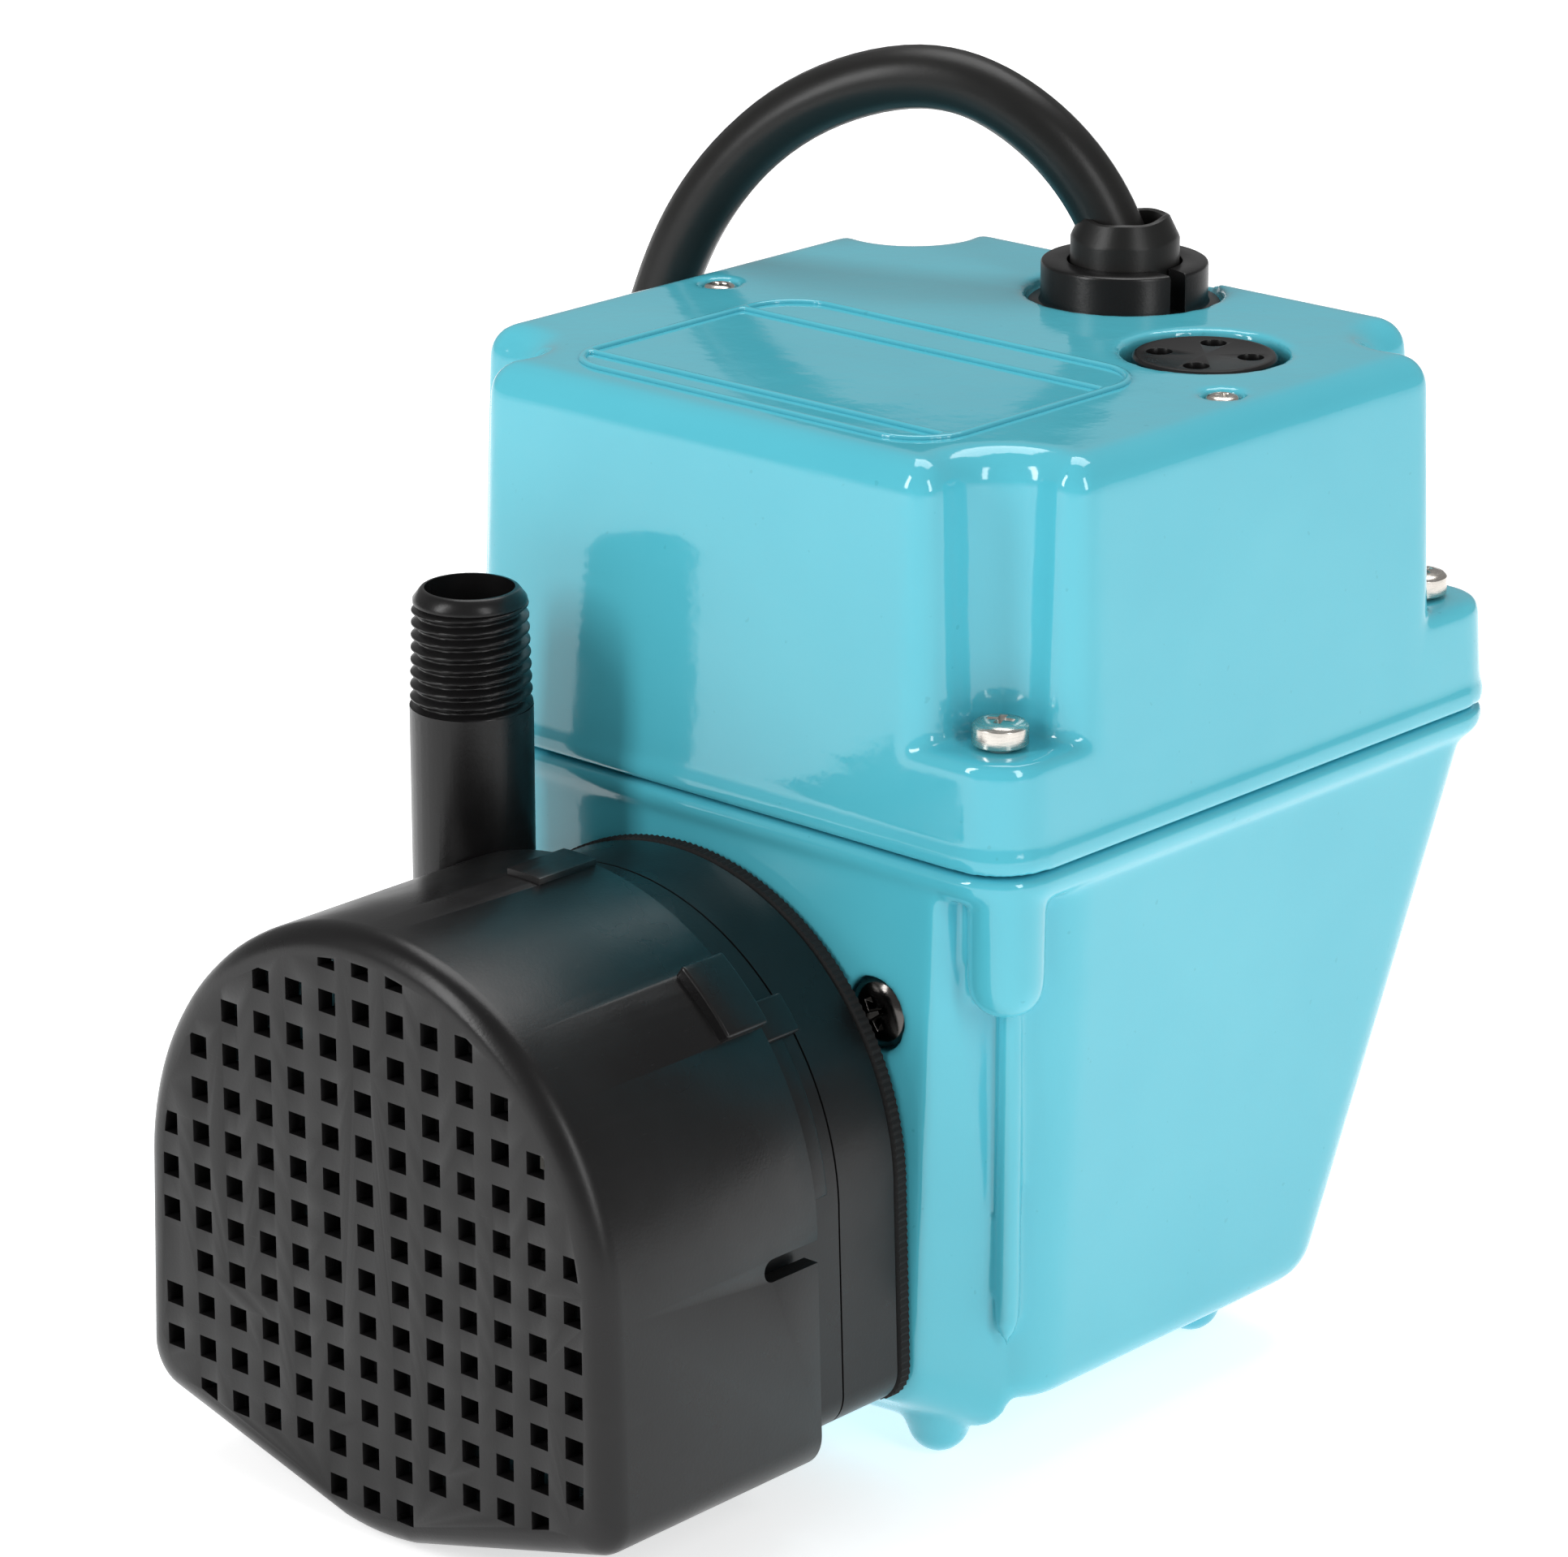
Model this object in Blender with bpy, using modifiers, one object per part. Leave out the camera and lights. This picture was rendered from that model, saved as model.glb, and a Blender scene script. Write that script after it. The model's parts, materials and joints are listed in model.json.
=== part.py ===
"""Small submersible utility pump: motor in a coated two-part casting, plastic pump head, power cord.

All dimensions below are in millimetres and become metres in the mesh helpers.
+Z is up, the pump head faces -Y, and the origin is on the floor under the middle of the pump.
Lengths called "depth" are measured from the screen's front face towards the back of the pump.
"""

import math

import bmesh
import bpy
from mathutils import Matrix, Vector

MM = 0.001

# ---------------------------------------------------------------- driving dimensions, in millimetres
LENGTH = 139.4            # screen face to the back of the flange
CASTING_WIDTH = 92.3      # across the flange between cover and housing
CASTING_DEPTH = 89.4      # front to back of that flange
FLANGE_CORNER = 7.3
PARTING = 72.5            # height of the joint between cover and housing
COVER_TOP = 115.7
WALL = 3.2

FLANGE_FRONT = LENGTH - CASTING_DEPTH
CASTING_MIDDLE = FLANGE_FRONT + CASTING_DEPTH / 2.0

SCREW_INSET = 7.5         # cover screws, in from both flange faces
POCKET_RADIUS = 4.5       # pocket round each cover screw, at the flange
LIP_INSET = 4.9           # centres of the rounded lips beside a pocket, in from the flange face
LEDGE_HEIGHT = 85.0
COVER_DRAFT = 1.45        # how far the cover's walls lean in from flange to top
TOP_FILLET = 3.6

SHAFT_HEIGHT = 34.8       # the pump head's arch, impeller and rotor share this axis

SCREEN_RADIUS = 35.0
SCREEN_DEPTH = 32.7
SCREEN_WALL = 2.0
SCREEN_FILLET = 2.8
HOLE_PITCH = 5.08
HOLE_SIZE = 2.55

VOLUTE_RADIUS = 32.2
VOLUTE_FRONT = 24.0
VOLUTE_BACK = 48.2
CHAMBER_RADIUS = 25.0
CHAMBER_FRONT = 27.0
CHAMBER_BACK = 44.0
SEAM = 39.3
EYE_RADIUS = 8.0
GASKET_FRONT = 48.4
PAD_FACE = 50.7
BODY_FRONT = 57.8

PIPE_X = -20.4
PIPE_DEPTH = 37.4
PIPE_RADIUS = 6.85
PIPE_TOP = 95.2
PIPE_BORE = 5.0
THREAD_PITCH = 25.4 / 18.0
THREAD_TURNS = 8

HOUSING_BOTTOM = 7.3
FOOT_X = 29.5
FRONT_FOOT_DEPTH = 59.2
REAR_FOOT_DEPTH = 104.0
FOOT_RADIUS = 3.6

GLAND_DEPTH = 125.0
GLAND_GAP_ANGLE = -11.6
CAP_X = 24.4
CAP_DEPTH = 109.3
CAP_FLOOR = 110.4         # the recess below the diaphragm and its cap
CAP_BOTTOM = 113.5
MOUNT_SCREW_X = 37.3
MOUNT_SCREW_DEPTH = 96.1

CORD_RADIUS = 3.75
COIL_CENTRE = (-76.0, 177.0)
COIL_INNER = 28.2
COIL_OUTER = 50.7
COIL_LOW = 1.8
COIL_HIGH = 16.8

STATOR_FRONT = 74.0
STATOR_BACK = 102.0
ROTOR_RADIUS = 12.4

COATING = (0.10, 0.58, 0.66)
BLACK = (0.018, 0.018, 0.020)
STEEL = (0.62, 0.60, 0.57)

COLLECTION_NAME = "submersible_pump"


# ---------------------------------------------------------------- scene and materials
def clear_scene():
    for item in list(bpy.data.objects):
        bpy.data.objects.remove(item, do_unlink=True)


def make_collection(name):
    collection = bpy.data.collections.new(name)
    bpy.context.scene.collection.children.link(collection)
    return collection


def make_material(name, colour, roughness, metallic=0.0):
    material = bpy.data.materials.new(name)
    material.use_nodes = True
    shader = material.node_tree.nodes["Principled BSDF"]
    shader.inputs["Base Color"].default_value = (*colour, 1.0)
    shader.inputs["Roughness"].default_value = roughness
    shader.inputs["Metallic"].default_value = metallic
    material.diffuse_color = (*colour, 1.0)
    return material


clear_scene()
PARTS = make_collection(COLLECTION_NAME)
CUTTERS = make_collection("cutters")

COATED = make_material("epoxy_coating", COATING, 0.22)
PLASTIC = make_material("black_plastic", BLACK, 0.45)
RUBBER = make_material("black_rubber", BLACK, 0.75)
STAINLESS = make_material("stainless_steel", STEEL, 0.28, 1.0)
LAMINATION = make_material("lamination_steel", (0.30, 0.30, 0.32), 0.50, 1.0)
COPPER = make_material("enamelled_copper", (0.55, 0.22, 0.08), 0.35, 1.0)
ALUMINIUM = make_material("cast_aluminium", (0.66, 0.67, 0.68), 0.45, 1.0)
NYLON = make_material("white_nylon", (0.80, 0.78, 0.72), 0.50)
BRONZE = make_material("sintered_bronze", (0.50, 0.33, 0.14), 0.40, 1.0)
CERAMIC = make_material("seal_ceramic", (0.85, 0.84, 0.80), 0.30)
BRASS = make_material("plug_brass", (0.72, 0.53, 0.22), 0.30, 1.0)
WIRE_COLOURS = {
    "live": make_material("black_wire", BLACK, 0.5),
    "neutral": make_material("white_wire", (0.85, 0.85, 0.82), 0.5),
    "ground": make_material("green_wire", (0.03, 0.35, 0.08), 0.5),
}


# ---------------------------------------------------------------- mesh helpers
def place(x, depth, z):
    """World position, in metres, of a point given in the pump's millimetres."""
    return Vector((x * MM, (depth - LENGTH / 2.0) * MM, z * MM))


def link(mesh, name, material, collection=PARTS):
    piece = bpy.data.objects.new(name, mesh)
    collection.objects.link(piece)
    if collection is CUTTERS:
        piece.hide_render = True
        piece.display_type = "WIRE"
    else:
        mesh.materials.clear()
        mesh.materials.append(material)
    return piece


def finish_mesh(mesh, weld=0.000001, smooth_angle=40.0):
    """Weld seams, face outwards and shade round stretches smooth."""
    work = bmesh.new()
    work.from_mesh(mesh)
    bmesh.ops.remove_doubles(work, verts=work.verts, dist=weld)
    bmesh.ops.dissolve_degenerate(work, edges=work.edges, dist=0.0000005)
    rims = [edge for edge in work.edges if len(edge.link_faces) == 1]
    bmesh.ops.holes_fill(work, edges=rims, sides=4)
    bmesh.ops.recalc_face_normals(work, faces=work.faces)
    work.to_mesh(mesh)
    work.free()
    mesh.shade_smooth()
    mesh.set_sharp_from_angle(angle=math.radians(smooth_angle))


def loft(name, rings, material=None, collection=PARTS):
    """A closed skin through rings of equally many points, which lie in pump millimetres."""
    work = bmesh.new()
    loops = [[work.verts.new(place(*point)) for point in ring] for ring in rings]
    count = len(loops[0])
    for lower, upper in zip(loops, loops[1:]):
        for index in range(count):
            following = (index + 1) % count
            work.faces.new((lower[index], lower[following], upper[following], upper[index]))
    work.faces.new(loops[0])
    work.faces.new(loops[-1])
    mesh = bpy.data.meshes.new(name)
    work.to_mesh(mesh)
    work.free()
    finish_mesh(mesh)
    return link(mesh, name, material, collection)


def bake(piece):
    """The piece's evaluated shape as a plain mesh."""
    graph = bpy.context.evaluated_depsgraph_get()
    return bpy.data.meshes.new_from_object(piece.evaluated_get(graph))


def flat(name, outlines, start, end, along, material=None, collection=PARTS):
    """A plate from closed outlines; inner outlines are holes.

    along "depth": outlines are (x, z) and the plate runs from depth start to end.
    along "up": outlines are (x, depth) and the plate runs from height start to end.
    along "side": outlines are (depth, z) and the plate runs from x start to end.
    """
    curve = bpy.data.curves.new(name, "CURVE")
    curve.dimensions = "2D"
    curve.fill_mode = "BOTH"
    curve.extrude = abs(end - start) / 2.0 * MM
    for outline in outlines:
        spline = curve.splines.new("POLY")
        spline.points.add(len(outline) - 1)
        for point, (u, v) in zip(spline.points, outline):
            point.co = (u * MM, v * MM, 0.0, 1.0)
        spline.use_cyclic_u = True
    guide = bpy.data.objects.new(name + "_outline", curve)
    bpy.context.scene.collection.objects.link(guide)
    mesh = bake(guide)
    bpy.data.objects.remove(guide, do_unlink=True)
    middle = (start + end) / 2.0
    if along == "depth":
        turn = Matrix.Rotation(math.radians(90.0), 4, "X")
        shift = Matrix.Translation(place(0.0, middle, 0.0))
    elif along == "up":
        turn = Matrix.Identity(4)
        shift = Matrix.Translation(place(0.0, 0.0, middle))
    else:
        turn = Matrix.Rotation(math.radians(120.0), 4, Vector((1.0, 1.0, 1.0)))
        shift = Matrix.Translation(place(middle, 0.0, 0.0))
    mesh.transform(shift @ turn)
    finish_mesh(mesh)
    return link(mesh, name, material, collection)


def turned(name, profile, centre, axis="up", segments=32, material=None, collection=PARTS, closed=False):
    """A turned solid from (radius, height) points, run from top to bottom on the outer side."""
    mesh = bpy.data.meshes.new(name)
    points = [(radius * MM, 0.0, height * MM) for radius, height in profile]
    edges = [(index, index + 1) for index in range(len(points) - 1)]
    if closed:
        edges.append((len(points) - 1, 0))
    mesh.from_pydata(points, edges, [])
    guide = bpy.data.objects.new(name + "_profile", mesh)
    bpy.context.scene.collection.objects.link(guide)
    screw = guide.modifiers.new("turn", "SCREW")
    screw.steps = segments
    screw.render_steps = segments
    screw.use_merge_vertices = True
    screw.merge_threshold = 0.00001
    solid = bake(guide)
    bpy.data.objects.remove(guide, do_unlink=True)
    turn = Matrix.Identity(4)
    if axis == "back":
        turn = Matrix.Rotation(math.radians(-90.0), 4, "X")
    elif axis == "side":
        turn = Matrix.Rotation(math.radians(90.0), 4, "Y")
    solid.transform(Matrix.Translation(place(*centre)) @ turn)
    finish_mesh(solid)
    return link(solid, name, material, collection)


def rod(name, radius, start, end, centre, axis="up", segments=24, material=None, collection=PARTS):
    """A plain cylinder between two heights along the axis."""
    profile = [(0.0, end), (radius, end), (radius, start), (0.0, start)]
    return turned(name, profile, centre, axis, segments, material, collection)


def tube(name, outer, inner, start, end, centre, axis="up", segments=32, material=None, collection=PARTS):
    profile = [(inner, end), (outer, end), (outer, start), (inner, start)]
    return turned(name, profile, centre, axis, segments, material, collection, closed=True)


def block(name, low, high, material=None, collection=PARTS):
    """A box between two corners, in pump millimetres."""
    work = bmesh.new()
    bmesh.ops.create_cube(work, size=1.0)
    size = [(b - a) * MM for a, b in zip(low, high)]
    middle = [(a + b) / 2.0 for a, b in zip(low, high)]
    matrix = Matrix.Translation(place(*middle)) @ Matrix.Diagonal((*size, 1.0))
    bmesh.ops.transform(work, matrix=matrix, verts=work.verts)
    mesh = bpy.data.meshes.new(name)
    work.to_mesh(mesh)
    work.free()
    return link(mesh, name, material, collection)


def wire(name, points, radius, material, resolution=2):
    """A round wire along points in pump millimetres, as a plain welded mesh."""
    curve = bpy.data.curves.new(name, "CURVE")
    curve.dimensions = "3D"
    curve.bevel_depth = radius * MM
    curve.bevel_resolution = resolution
    curve.use_fill_caps = True
    spline = curve.splines.new("POLY")
    spline.points.add(len(points) - 1)
    for point, position in zip(spline.points, points):
        point.co = (*place(*position), 1.0)
    guide = bpy.data.objects.new(name + "_path", curve)
    bpy.context.scene.collection.objects.link(guide)
    mesh = bake(guide)
    bpy.data.objects.remove(guide, do_unlink=True)
    finish_mesh(mesh)
    return link(mesh, name, material)


def smooth_path(points, spacing):
    """Points every `spacing` millimetres along a Catmull-Rom curve through the given points."""
    knots = [Vector(point) for point in points]
    ends = [2.0 * knots[0] - knots[1], *knots, 2.0 * knots[-1] - knots[-2]]
    fine = []
    steps = 24
    for p0, p1, p2, p3 in zip(ends, ends[1:], ends[2:], ends[3:]):
        for step in range(steps):
            t = step / steps
            fine.append(0.5 * (2.0 * p1 + (p2 - p0) * t + (2.0 * p0 - 5.0 * p1 + 4.0 * p2 - p3) * t ** 2
                               + (3.0 * p1 - p0 - 3.0 * p2 + p3) * t ** 3))
    fine.append(knots[-1])
    lengths = [0.0]
    for a, b in zip(fine, fine[1:]):
        lengths.append(lengths[-1] + (b - a).length)
    count = max(2, round(lengths[-1] / spacing))
    path = []
    index = 0
    for number in range(count + 1):
        target = lengths[-1] * number / count
        while index < len(lengths) - 2 and lengths[index + 1] < target:
            index += 1
        share = (target - lengths[index]) / max(lengths[index + 1] - lengths[index], 1e-9)
        path.append(fine[index].lerp(fine[index + 1], min(share, 1.0)))
    return path


def combine(piece, tools, operation):
    for tool in tools:
        modifier = piece.modifiers.new(tool.name, "BOOLEAN")
        modifier.operation = operation
        modifier.object = tool
        modifier.solver = "EXACT"
    bpy.context.view_layer.update()
    mesh = bake(piece)
    piece.modifiers.clear()
    piece.data = mesh
    finish_mesh(mesh, 0.00003)
    for tool in tools:
        bpy.data.objects.remove(tool, do_unlink=True)
    bpy.context.view_layer.update()


def cut(piece, *tools):
    combine(piece, tools, "DIFFERENCE")


def fuse(piece, *tools):
    combine(piece, tools, "UNION")


# ---------------------------------------------------------------- outlines
def arc(x, y, radius, start, end, steps):
    """Points on an arc, its angles in degrees, both ends included."""
    points = []
    for index in range(steps + 1):
        angle = math.radians(start + (end - start) * index / steps)
        points.append((x + radius * math.cos(angle), y + radius * math.sin(angle)))
    return points


def rounded_rectangle(half_width, half_height, radius, steps=6, centre=(0.0, 0.0)):
    x, y = centre
    across = half_width - radius
    up = half_height - radius
    points = arc(x + across, y + up, radius, 0.0, 90.0, steps)
    points += arc(x - across, y + up, radius, 90.0, 180.0, steps)
    points += arc(x - across, y - up, radius, 180.0, 270.0, steps)
    points += arc(x + across, y - up, radius, 270.0, 360.0, steps)
    return points


def casting_outline(inset):
    """The flange's rounded rectangle, moved in by inset."""
    return rounded_rectangle(CASTING_WIDTH / 2.0 - inset, CASTING_DEPTH / 2.0 - inset,
                             FLANGE_CORNER - inset, 4, (0.0, CASTING_MIDDLE))


def scalloped_outline(inset, pocket_steps=6, lip_steps=2):
    """The cover's walls with a round pocket about each screw, moved in by inset.

    A lip rounds off the wall on each side of a pocket; it touches the wall and the pocket without a corner.
    """
    half_x = CASTING_WIDTH / 2.0
    half_y = CASTING_DEPTH / 2.0
    screw_x = half_x - SCREW_INSET
    screw_y = half_y - SCREW_INSET
    inset = min(inset, LIP_INSET - 0.12)
    lip = LIP_INSET - inset
    rise = SCREW_INSET - LIP_INSET
    across = math.sqrt((POCKET_RADIUS + LIP_INSET) ** 2 - rise ** 2)
    turn = math.degrees(math.atan2(rise, across))
    quarter = arc(half_x - LIP_INSET, screw_y - across, lip, 0.0, 90.0 + turn, lip_steps)
    quarter += arc(screw_x, screw_y, POCKET_RADIUS + inset, 270.0 + turn, 180.0 - turn, pocket_steps)[1:]
    quarter += arc(screw_x - across, half_y - LIP_INSET, lip, -turn, 90.0, lip_steps)[1:]
    outline = list(quarter)
    outline += [(-x, y) for x, y in reversed(quarter)]
    outline += [(-x, -y) for x, y in quarter]
    outline += [(x, -y) for x, y in reversed(quarter)]
    return [(x, y + CASTING_MIDDLE) for x, y in outline]


def head_outline(radius, low_side, apex, arch_steps=16):
    """The pump head's outline in (x, z): arch on top, straight sides, shallow V below."""
    flare = 0.7
    corner = 4.5
    side = radius + flare
    slope = math.degrees(math.atan2(low_side - apex, side))
    points = arc(0.0, SHAFT_HEIGHT, radius, 0.0, 180.0, arch_steps)
    points += arc(-side + corner, low_side + corner, corner, 180.0, 270.0 - slope, 4)
    points += arc(0.0, apex + 30.0, 30.0, 270.0 - slope * 0.8, 270.0 + slope * 0.8, 4)
    points += arc(side - corner, low_side + corner, corner, 270.0 + slope, 360.0, 4)
    return points


def circle(x, y, radius, steps=24):
    return arc(x, y, radius, 0.0, 360.0, steps)[:-1]


def levels_up(outline, height):
    return [(x, depth, height) for x, depth in outline]


def levels_back(outline, depth):
    return [(x, depth, z) for x, z in outline]


CORNERS = [(side, end) for end in (-1, 1) for side in (1, -1)]


def cover_screw_place(side, end):
    x = side * (CASTING_WIDTH / 2.0 - SCREW_INSET)
    depth = CASTING_MIDDLE + end * (CASTING_DEPTH / 2.0 - SCREW_INSET)
    return x, depth


# ---------------------------------------------------------------- motor cover
def cover_inset(height):
    """How far the cover's wall has leaned in at a height."""
    return 0.35 + COVER_DRAFT * (height - PARTING) / (COVER_TOP - PARTING)


def cavity_outline(inset):
    """The opening of the cavity at the parting, shared by cover and housing."""
    return rounded_rectangle(38.8 - inset, 37.4 - inset, 16.0, 4, (0.0, CASTING_MIDDLE))


def motor_cover():
    fillet_rings = []
    for angle in (0.0, 30.0, 60.0, 90.0):
        drop = TOP_FILLET * (1.0 - math.sin(math.radians(angle)))
        pull = TOP_FILLET * (1.0 - math.cos(math.radians(angle)))
        height = COVER_TOP - drop
        fillet_rings.append(levels_up(scalloped_outline(cover_inset(height) + pull), height))
    base = levels_up(scalloped_outline(cover_inset(PARTING)), PARTING + 0.6)
    cover = loft("motor_cover", [base, *fillet_rings], COATED)

    lip_top = PARTING + 2.7
    plinth = loft("plinth", [
        levels_up(casting_outline(-0.1), PARTING + 0.15),
        levels_up(casting_outline(-0.1), lip_top - 0.5),
        levels_up(casting_outline(0.3), lip_top),
        levels_up(casting_outline(cover_inset(LEDGE_HEIGHT) + 0.05), LEDGE_HEIGHT - 1.2),
        levels_up(casting_outline(cover_inset(LEDGE_HEIGHT) + 0.35), LEDGE_HEIGHT - 0.4),
        levels_up(casting_outline(cover_inset(LEDGE_HEIGHT) + 1.2), LEDGE_HEIGHT),
    ], None, CUTTERS)
    fuse(cover, plinth)

    inside_top = COVER_TOP - 3.5
    step = PARTING + 6.0
    lower_hollow = loft("lower_hollow", [
        levels_up(cavity_outline(0.0), PARTING - 1.0),
        levels_up(cavity_outline(0.0), step + 0.2),
    ], None, CUTTERS)
    upper_hollow = loft("upper_hollow", [
        levels_up(scalloped_outline(cover_inset(step) + WALL), step),
        levels_up(scalloped_outline(cover_inset(inside_top) + WALL), inside_top),
    ], None, CUTTERS)
    cut(cover, lower_hollow, upper_hollow)

    bosses = [
        rod("gland_boss", 10.8, 106.0, inside_top + 0.5, (0.0, GLAND_DEPTH, 0.0), "up", 24, None, CUTTERS),
        rod("cap_boss", 11.2, 106.5, inside_top + 0.5, (CAP_X, CAP_DEPTH, 0.0), "up", 24, None, CUTTERS),
    ]
    for side in (-1, 1):
        bosses.append(rod("post", 3.9, 101.0, inside_top + 0.5, (side * MOUNT_SCREW_X, MOUNT_SCREW_DEPTH, 0.0),
                          "up", 10, None, CUTTERS))
    fuse(cover, *bosses)

    cuts = [
        rod("gland_recess", 11.6, 113.5, COVER_TOP + 1.0, (0.0, GLAND_DEPTH, 0.0), "up", 24, None, CUTTERS),
        rod("gland_hole", 6.65, 100.0, 114.0, (0.0, GLAND_DEPTH, 0.0), "up", 24, None, CUTTERS),
        rod("cap_recess", 9.5, CAP_FLOOR, COVER_TOP + 1.0, (CAP_X, CAP_DEPTH, 0.0), "up", 24, None, CUTTERS),
        rod("cap_hole", 6.5, 100.0, CAP_FLOOR + 0.5, (CAP_X, CAP_DEPTH, 0.0), "up", 20, None, CUTTERS),
    ]
    for side in (-1, 1):
        spot = (side * MOUNT_SCREW_X, MOUNT_SCREW_DEPTH, 0.0)
        cuts.append(rod("mount_recess", 2.3, 113.4, COVER_TOP + 1.0, spot, "up", 10, None, CUTTERS))
        cuts.append(rod("mount_hole", 1.8, 100.0, 114.0, spot, "up", 10, None, CUTTERS))
    for side, end in CORNERS:
        x, depth = cover_screw_place(side, end)
        cuts.append(rod("screw_hole", 2.0, PARTING - 1.0, LEDGE_HEIGHT + 1.0, (x, depth, 0.0), "up", 10,
                        None, CUTTERS))
    cut(cover, *cuts)
    return cover


def name_plate_border():
    """The raised frame on the cover's top: an outer rib and two cross ribs."""
    width = 0.9
    low = COVER_TOP + 0.02
    high = COVER_TOP + 0.5
    outer = rounded_rectangle(27.4, 19.6, 7.0, 5, (0.3, 77.2))
    inner = rounded_rectangle(27.4 - width, 19.6 - width, 7.0 - width, 5, (0.3, 77.2))
    frame = flat("name_plate_border", [outer, inner], low, high, "up", COATED)
    bars = []
    for depth in (62.6, 88.4):
        bars.append(block("bar", (-26.8, depth - width / 2.0, low), (27.4, depth + width / 2.0, high),
                          None, CUTTERS))
    fuse(frame, *bars)
    return frame


# ---------------------------------------------------------------- motor housing
def body_ring(height, inset=0.0):
    """One level of the housing below its flange; the back wall slopes in towards the bottom."""
    share = (height - HOUSING_BOTTOM) / (PARTING - HOUSING_BOTTOM)
    half_width = 41.8 + 3.4 * share - inset
    front = BODY_FRONT + inset
    back = 114.0 + 25.0 * share - inset
    middle = (front + back) / 2.0
    outline = rounded_rectangle(half_width, (back - front) / 2.0, 8.0 - inset * 0.8, 4, (0.0, middle))
    return levels_up(outline, height)


def pad_outline(grow, spread=0.0):
    """The front pad that the pump head bolts to, in (x, z); spread widens its lower end."""
    half_top = 36.2 + grow
    half_low = 33.6 + grow + spread
    bottom = 8.5 - grow * 1.5
    apex = 1.6 - grow * 0.25
    corner = 5.5
    points = [(half_top, 71.0), (-half_top, 71.0)]
    points += arc(-half_low + corner, bottom + corner, corner, 180.0, 255.0, 5)
    points += [(0.0, apex)]
    points += arc(half_low - corner, bottom + corner, corner, 285.0, 360.0, 5)
    return points


def motor_housing():
    flange_top = PARTING - 0.15
    bottom_rings = []
    for angle in (0.0, 30.0, 60.0, 90.0):
        pull = 4.0 * (1.0 - math.sin(math.radians(angle)))
        rise = 4.0 * (1.0 - math.cos(math.radians(angle)))
        bottom_rings.append(body_ring(HOUSING_BOTTOM + rise, pull))
    housing = loft("motor_housing", [*bottom_rings, body_ring(flange_top - 1.5)], COATED)

    flange = loft("flange", [
        levels_up(casting_outline(1.4), flange_top - 3.6),
        levels_up(casting_outline(0.3), flange_top - 2.4),
        levels_up(casting_outline(0.0), flange_top - 1.6),
        levels_up(casting_outline(0.0), flange_top - 0.5),
        levels_up(casting_outline(0.35), flange_top),
    ], None, CUTTERS)
    pad = loft("pad", [
        levels_back(pad_outline(-0.6), PAD_FACE),
        levels_back(pad_outline(0.2), PAD_FACE + 0.9),
        levels_back(pad_outline(3.0, 2.2), BODY_FRONT + 1.5),
        levels_back(pad_outline(3.0, 2.2), BODY_FRONT + 3.0),
    ], None, CUTTERS)
    extras = []
    boss = [(0.0, flange_top - 1.0), (4.2, flange_top - 1.0), (4.1, 59.6), (3.4, 57.4), (1.9, 56.1),
            (0.0, 55.7)]
    rib = [(0.0, 58.0), (1.25, 58.0), (1.35, 19.0), (0.0, 15.0)]
    for side in (-1, 1):
        extras.append(turned("corner_boss", boss, (side * 41.3, 55.8, 0.0), "up", 14, None, CUTTERS))
        rib_place = (side * 40.0, BODY_FRONT + 0.4, 0.0)
        extras.append(turned("corner_rib", rib, rib_place, "up", 12, None, CUTTERS))
        for depth in (FRONT_FOOT_DEPTH, REAR_FOOT_DEPTH):
            profile = [(0.0, 20.0), (4.6, 20.0), (4.5, 5.5), (FOOT_RADIUS, FOOT_RADIUS)]
            profile += arc(0.0, FOOT_RADIUS, FOOT_RADIUS, -22.0, -66.0, 2)
            profile += [(0.0, 0.0)]
            extras.append(turned("foot", profile, (side * FOOT_X, depth, 0.0), "up", 14, None, CUTTERS))
    fuse(housing, flange, pad, *extras)

    hollow = loft("hollow", [
        body_ring(HOUSING_BOTTOM + WALL, WALL + 1.5),
        body_ring(HOUSING_BOTTOM + WALL + 2.0, WALL),
        body_ring(PARTING - 11.0, WALL),
        levels_up(cavity_outline(0.0), PARTING - 4.5),
        levels_up(cavity_outline(0.0), PARTING + 1.0),
    ], None, CUTTERS)
    groove = flat("groove", [gasket_line(1.2), gasket_line(-1.2)], flange_top - 1.6, flange_top + 1.0, "up",
                  None, CUTTERS)
    bore_end = BODY_FRONT + WALL + 4.0
    axle = (0.0, 0.0, SHAFT_HEIGHT)
    cuts = [rod("shaft_bore", 9.0, PAD_FACE - 1.0, bore_end, axle, "back", 24, None, CUTTERS)]
    for side in (-1, 1):
        spot = plate_screw_place(side)
        cuts.append(rod("plate_recess", 4.3, PAD_FACE - 1.0, PAD_FACE + 3.0, spot, "back", 20,
                        None, CUTTERS))
        cuts.append(rod("plate_hole", 2.3, PAD_FACE, BODY_FRONT + 6.0, spot, "back", 10, None, CUTTERS))
    for spot in HEAD_SCREWS:
        cuts.append(rod("head_hole", 1.8, PAD_FACE - 1.0, PAD_FACE + 7.5, spot, "back", 10, None, CUTTERS))
    for side, end in CORNERS:
        x, depth = cover_screw_place(side, end)
        cuts.append(rod("pilot", 1.8, flange_top - 6.6, flange_top + 1.0, (x, depth, 0.0), "up", 12,
                        None, CUTTERS))
    cut(housing, hollow, groove, *cuts)
    return housing


def gasket_line(offset):
    """The cover gasket's rounded rectangle, grown by offset."""
    return rounded_rectangle(41.3 + offset, 39.9 + offset, 17.5 + offset, 4, (0.0, CASTING_MIDDLE))


def cover_gasket():
    top = PARTING - 0.15
    return flat("cover_gasket", [gasket_line(0.85), gasket_line(-0.85)], top - 1.3, top - 0.15, "up", RUBBER)


def plate_screw_place(side):
    return side * 26.6, 0.0, 53.3


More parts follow.
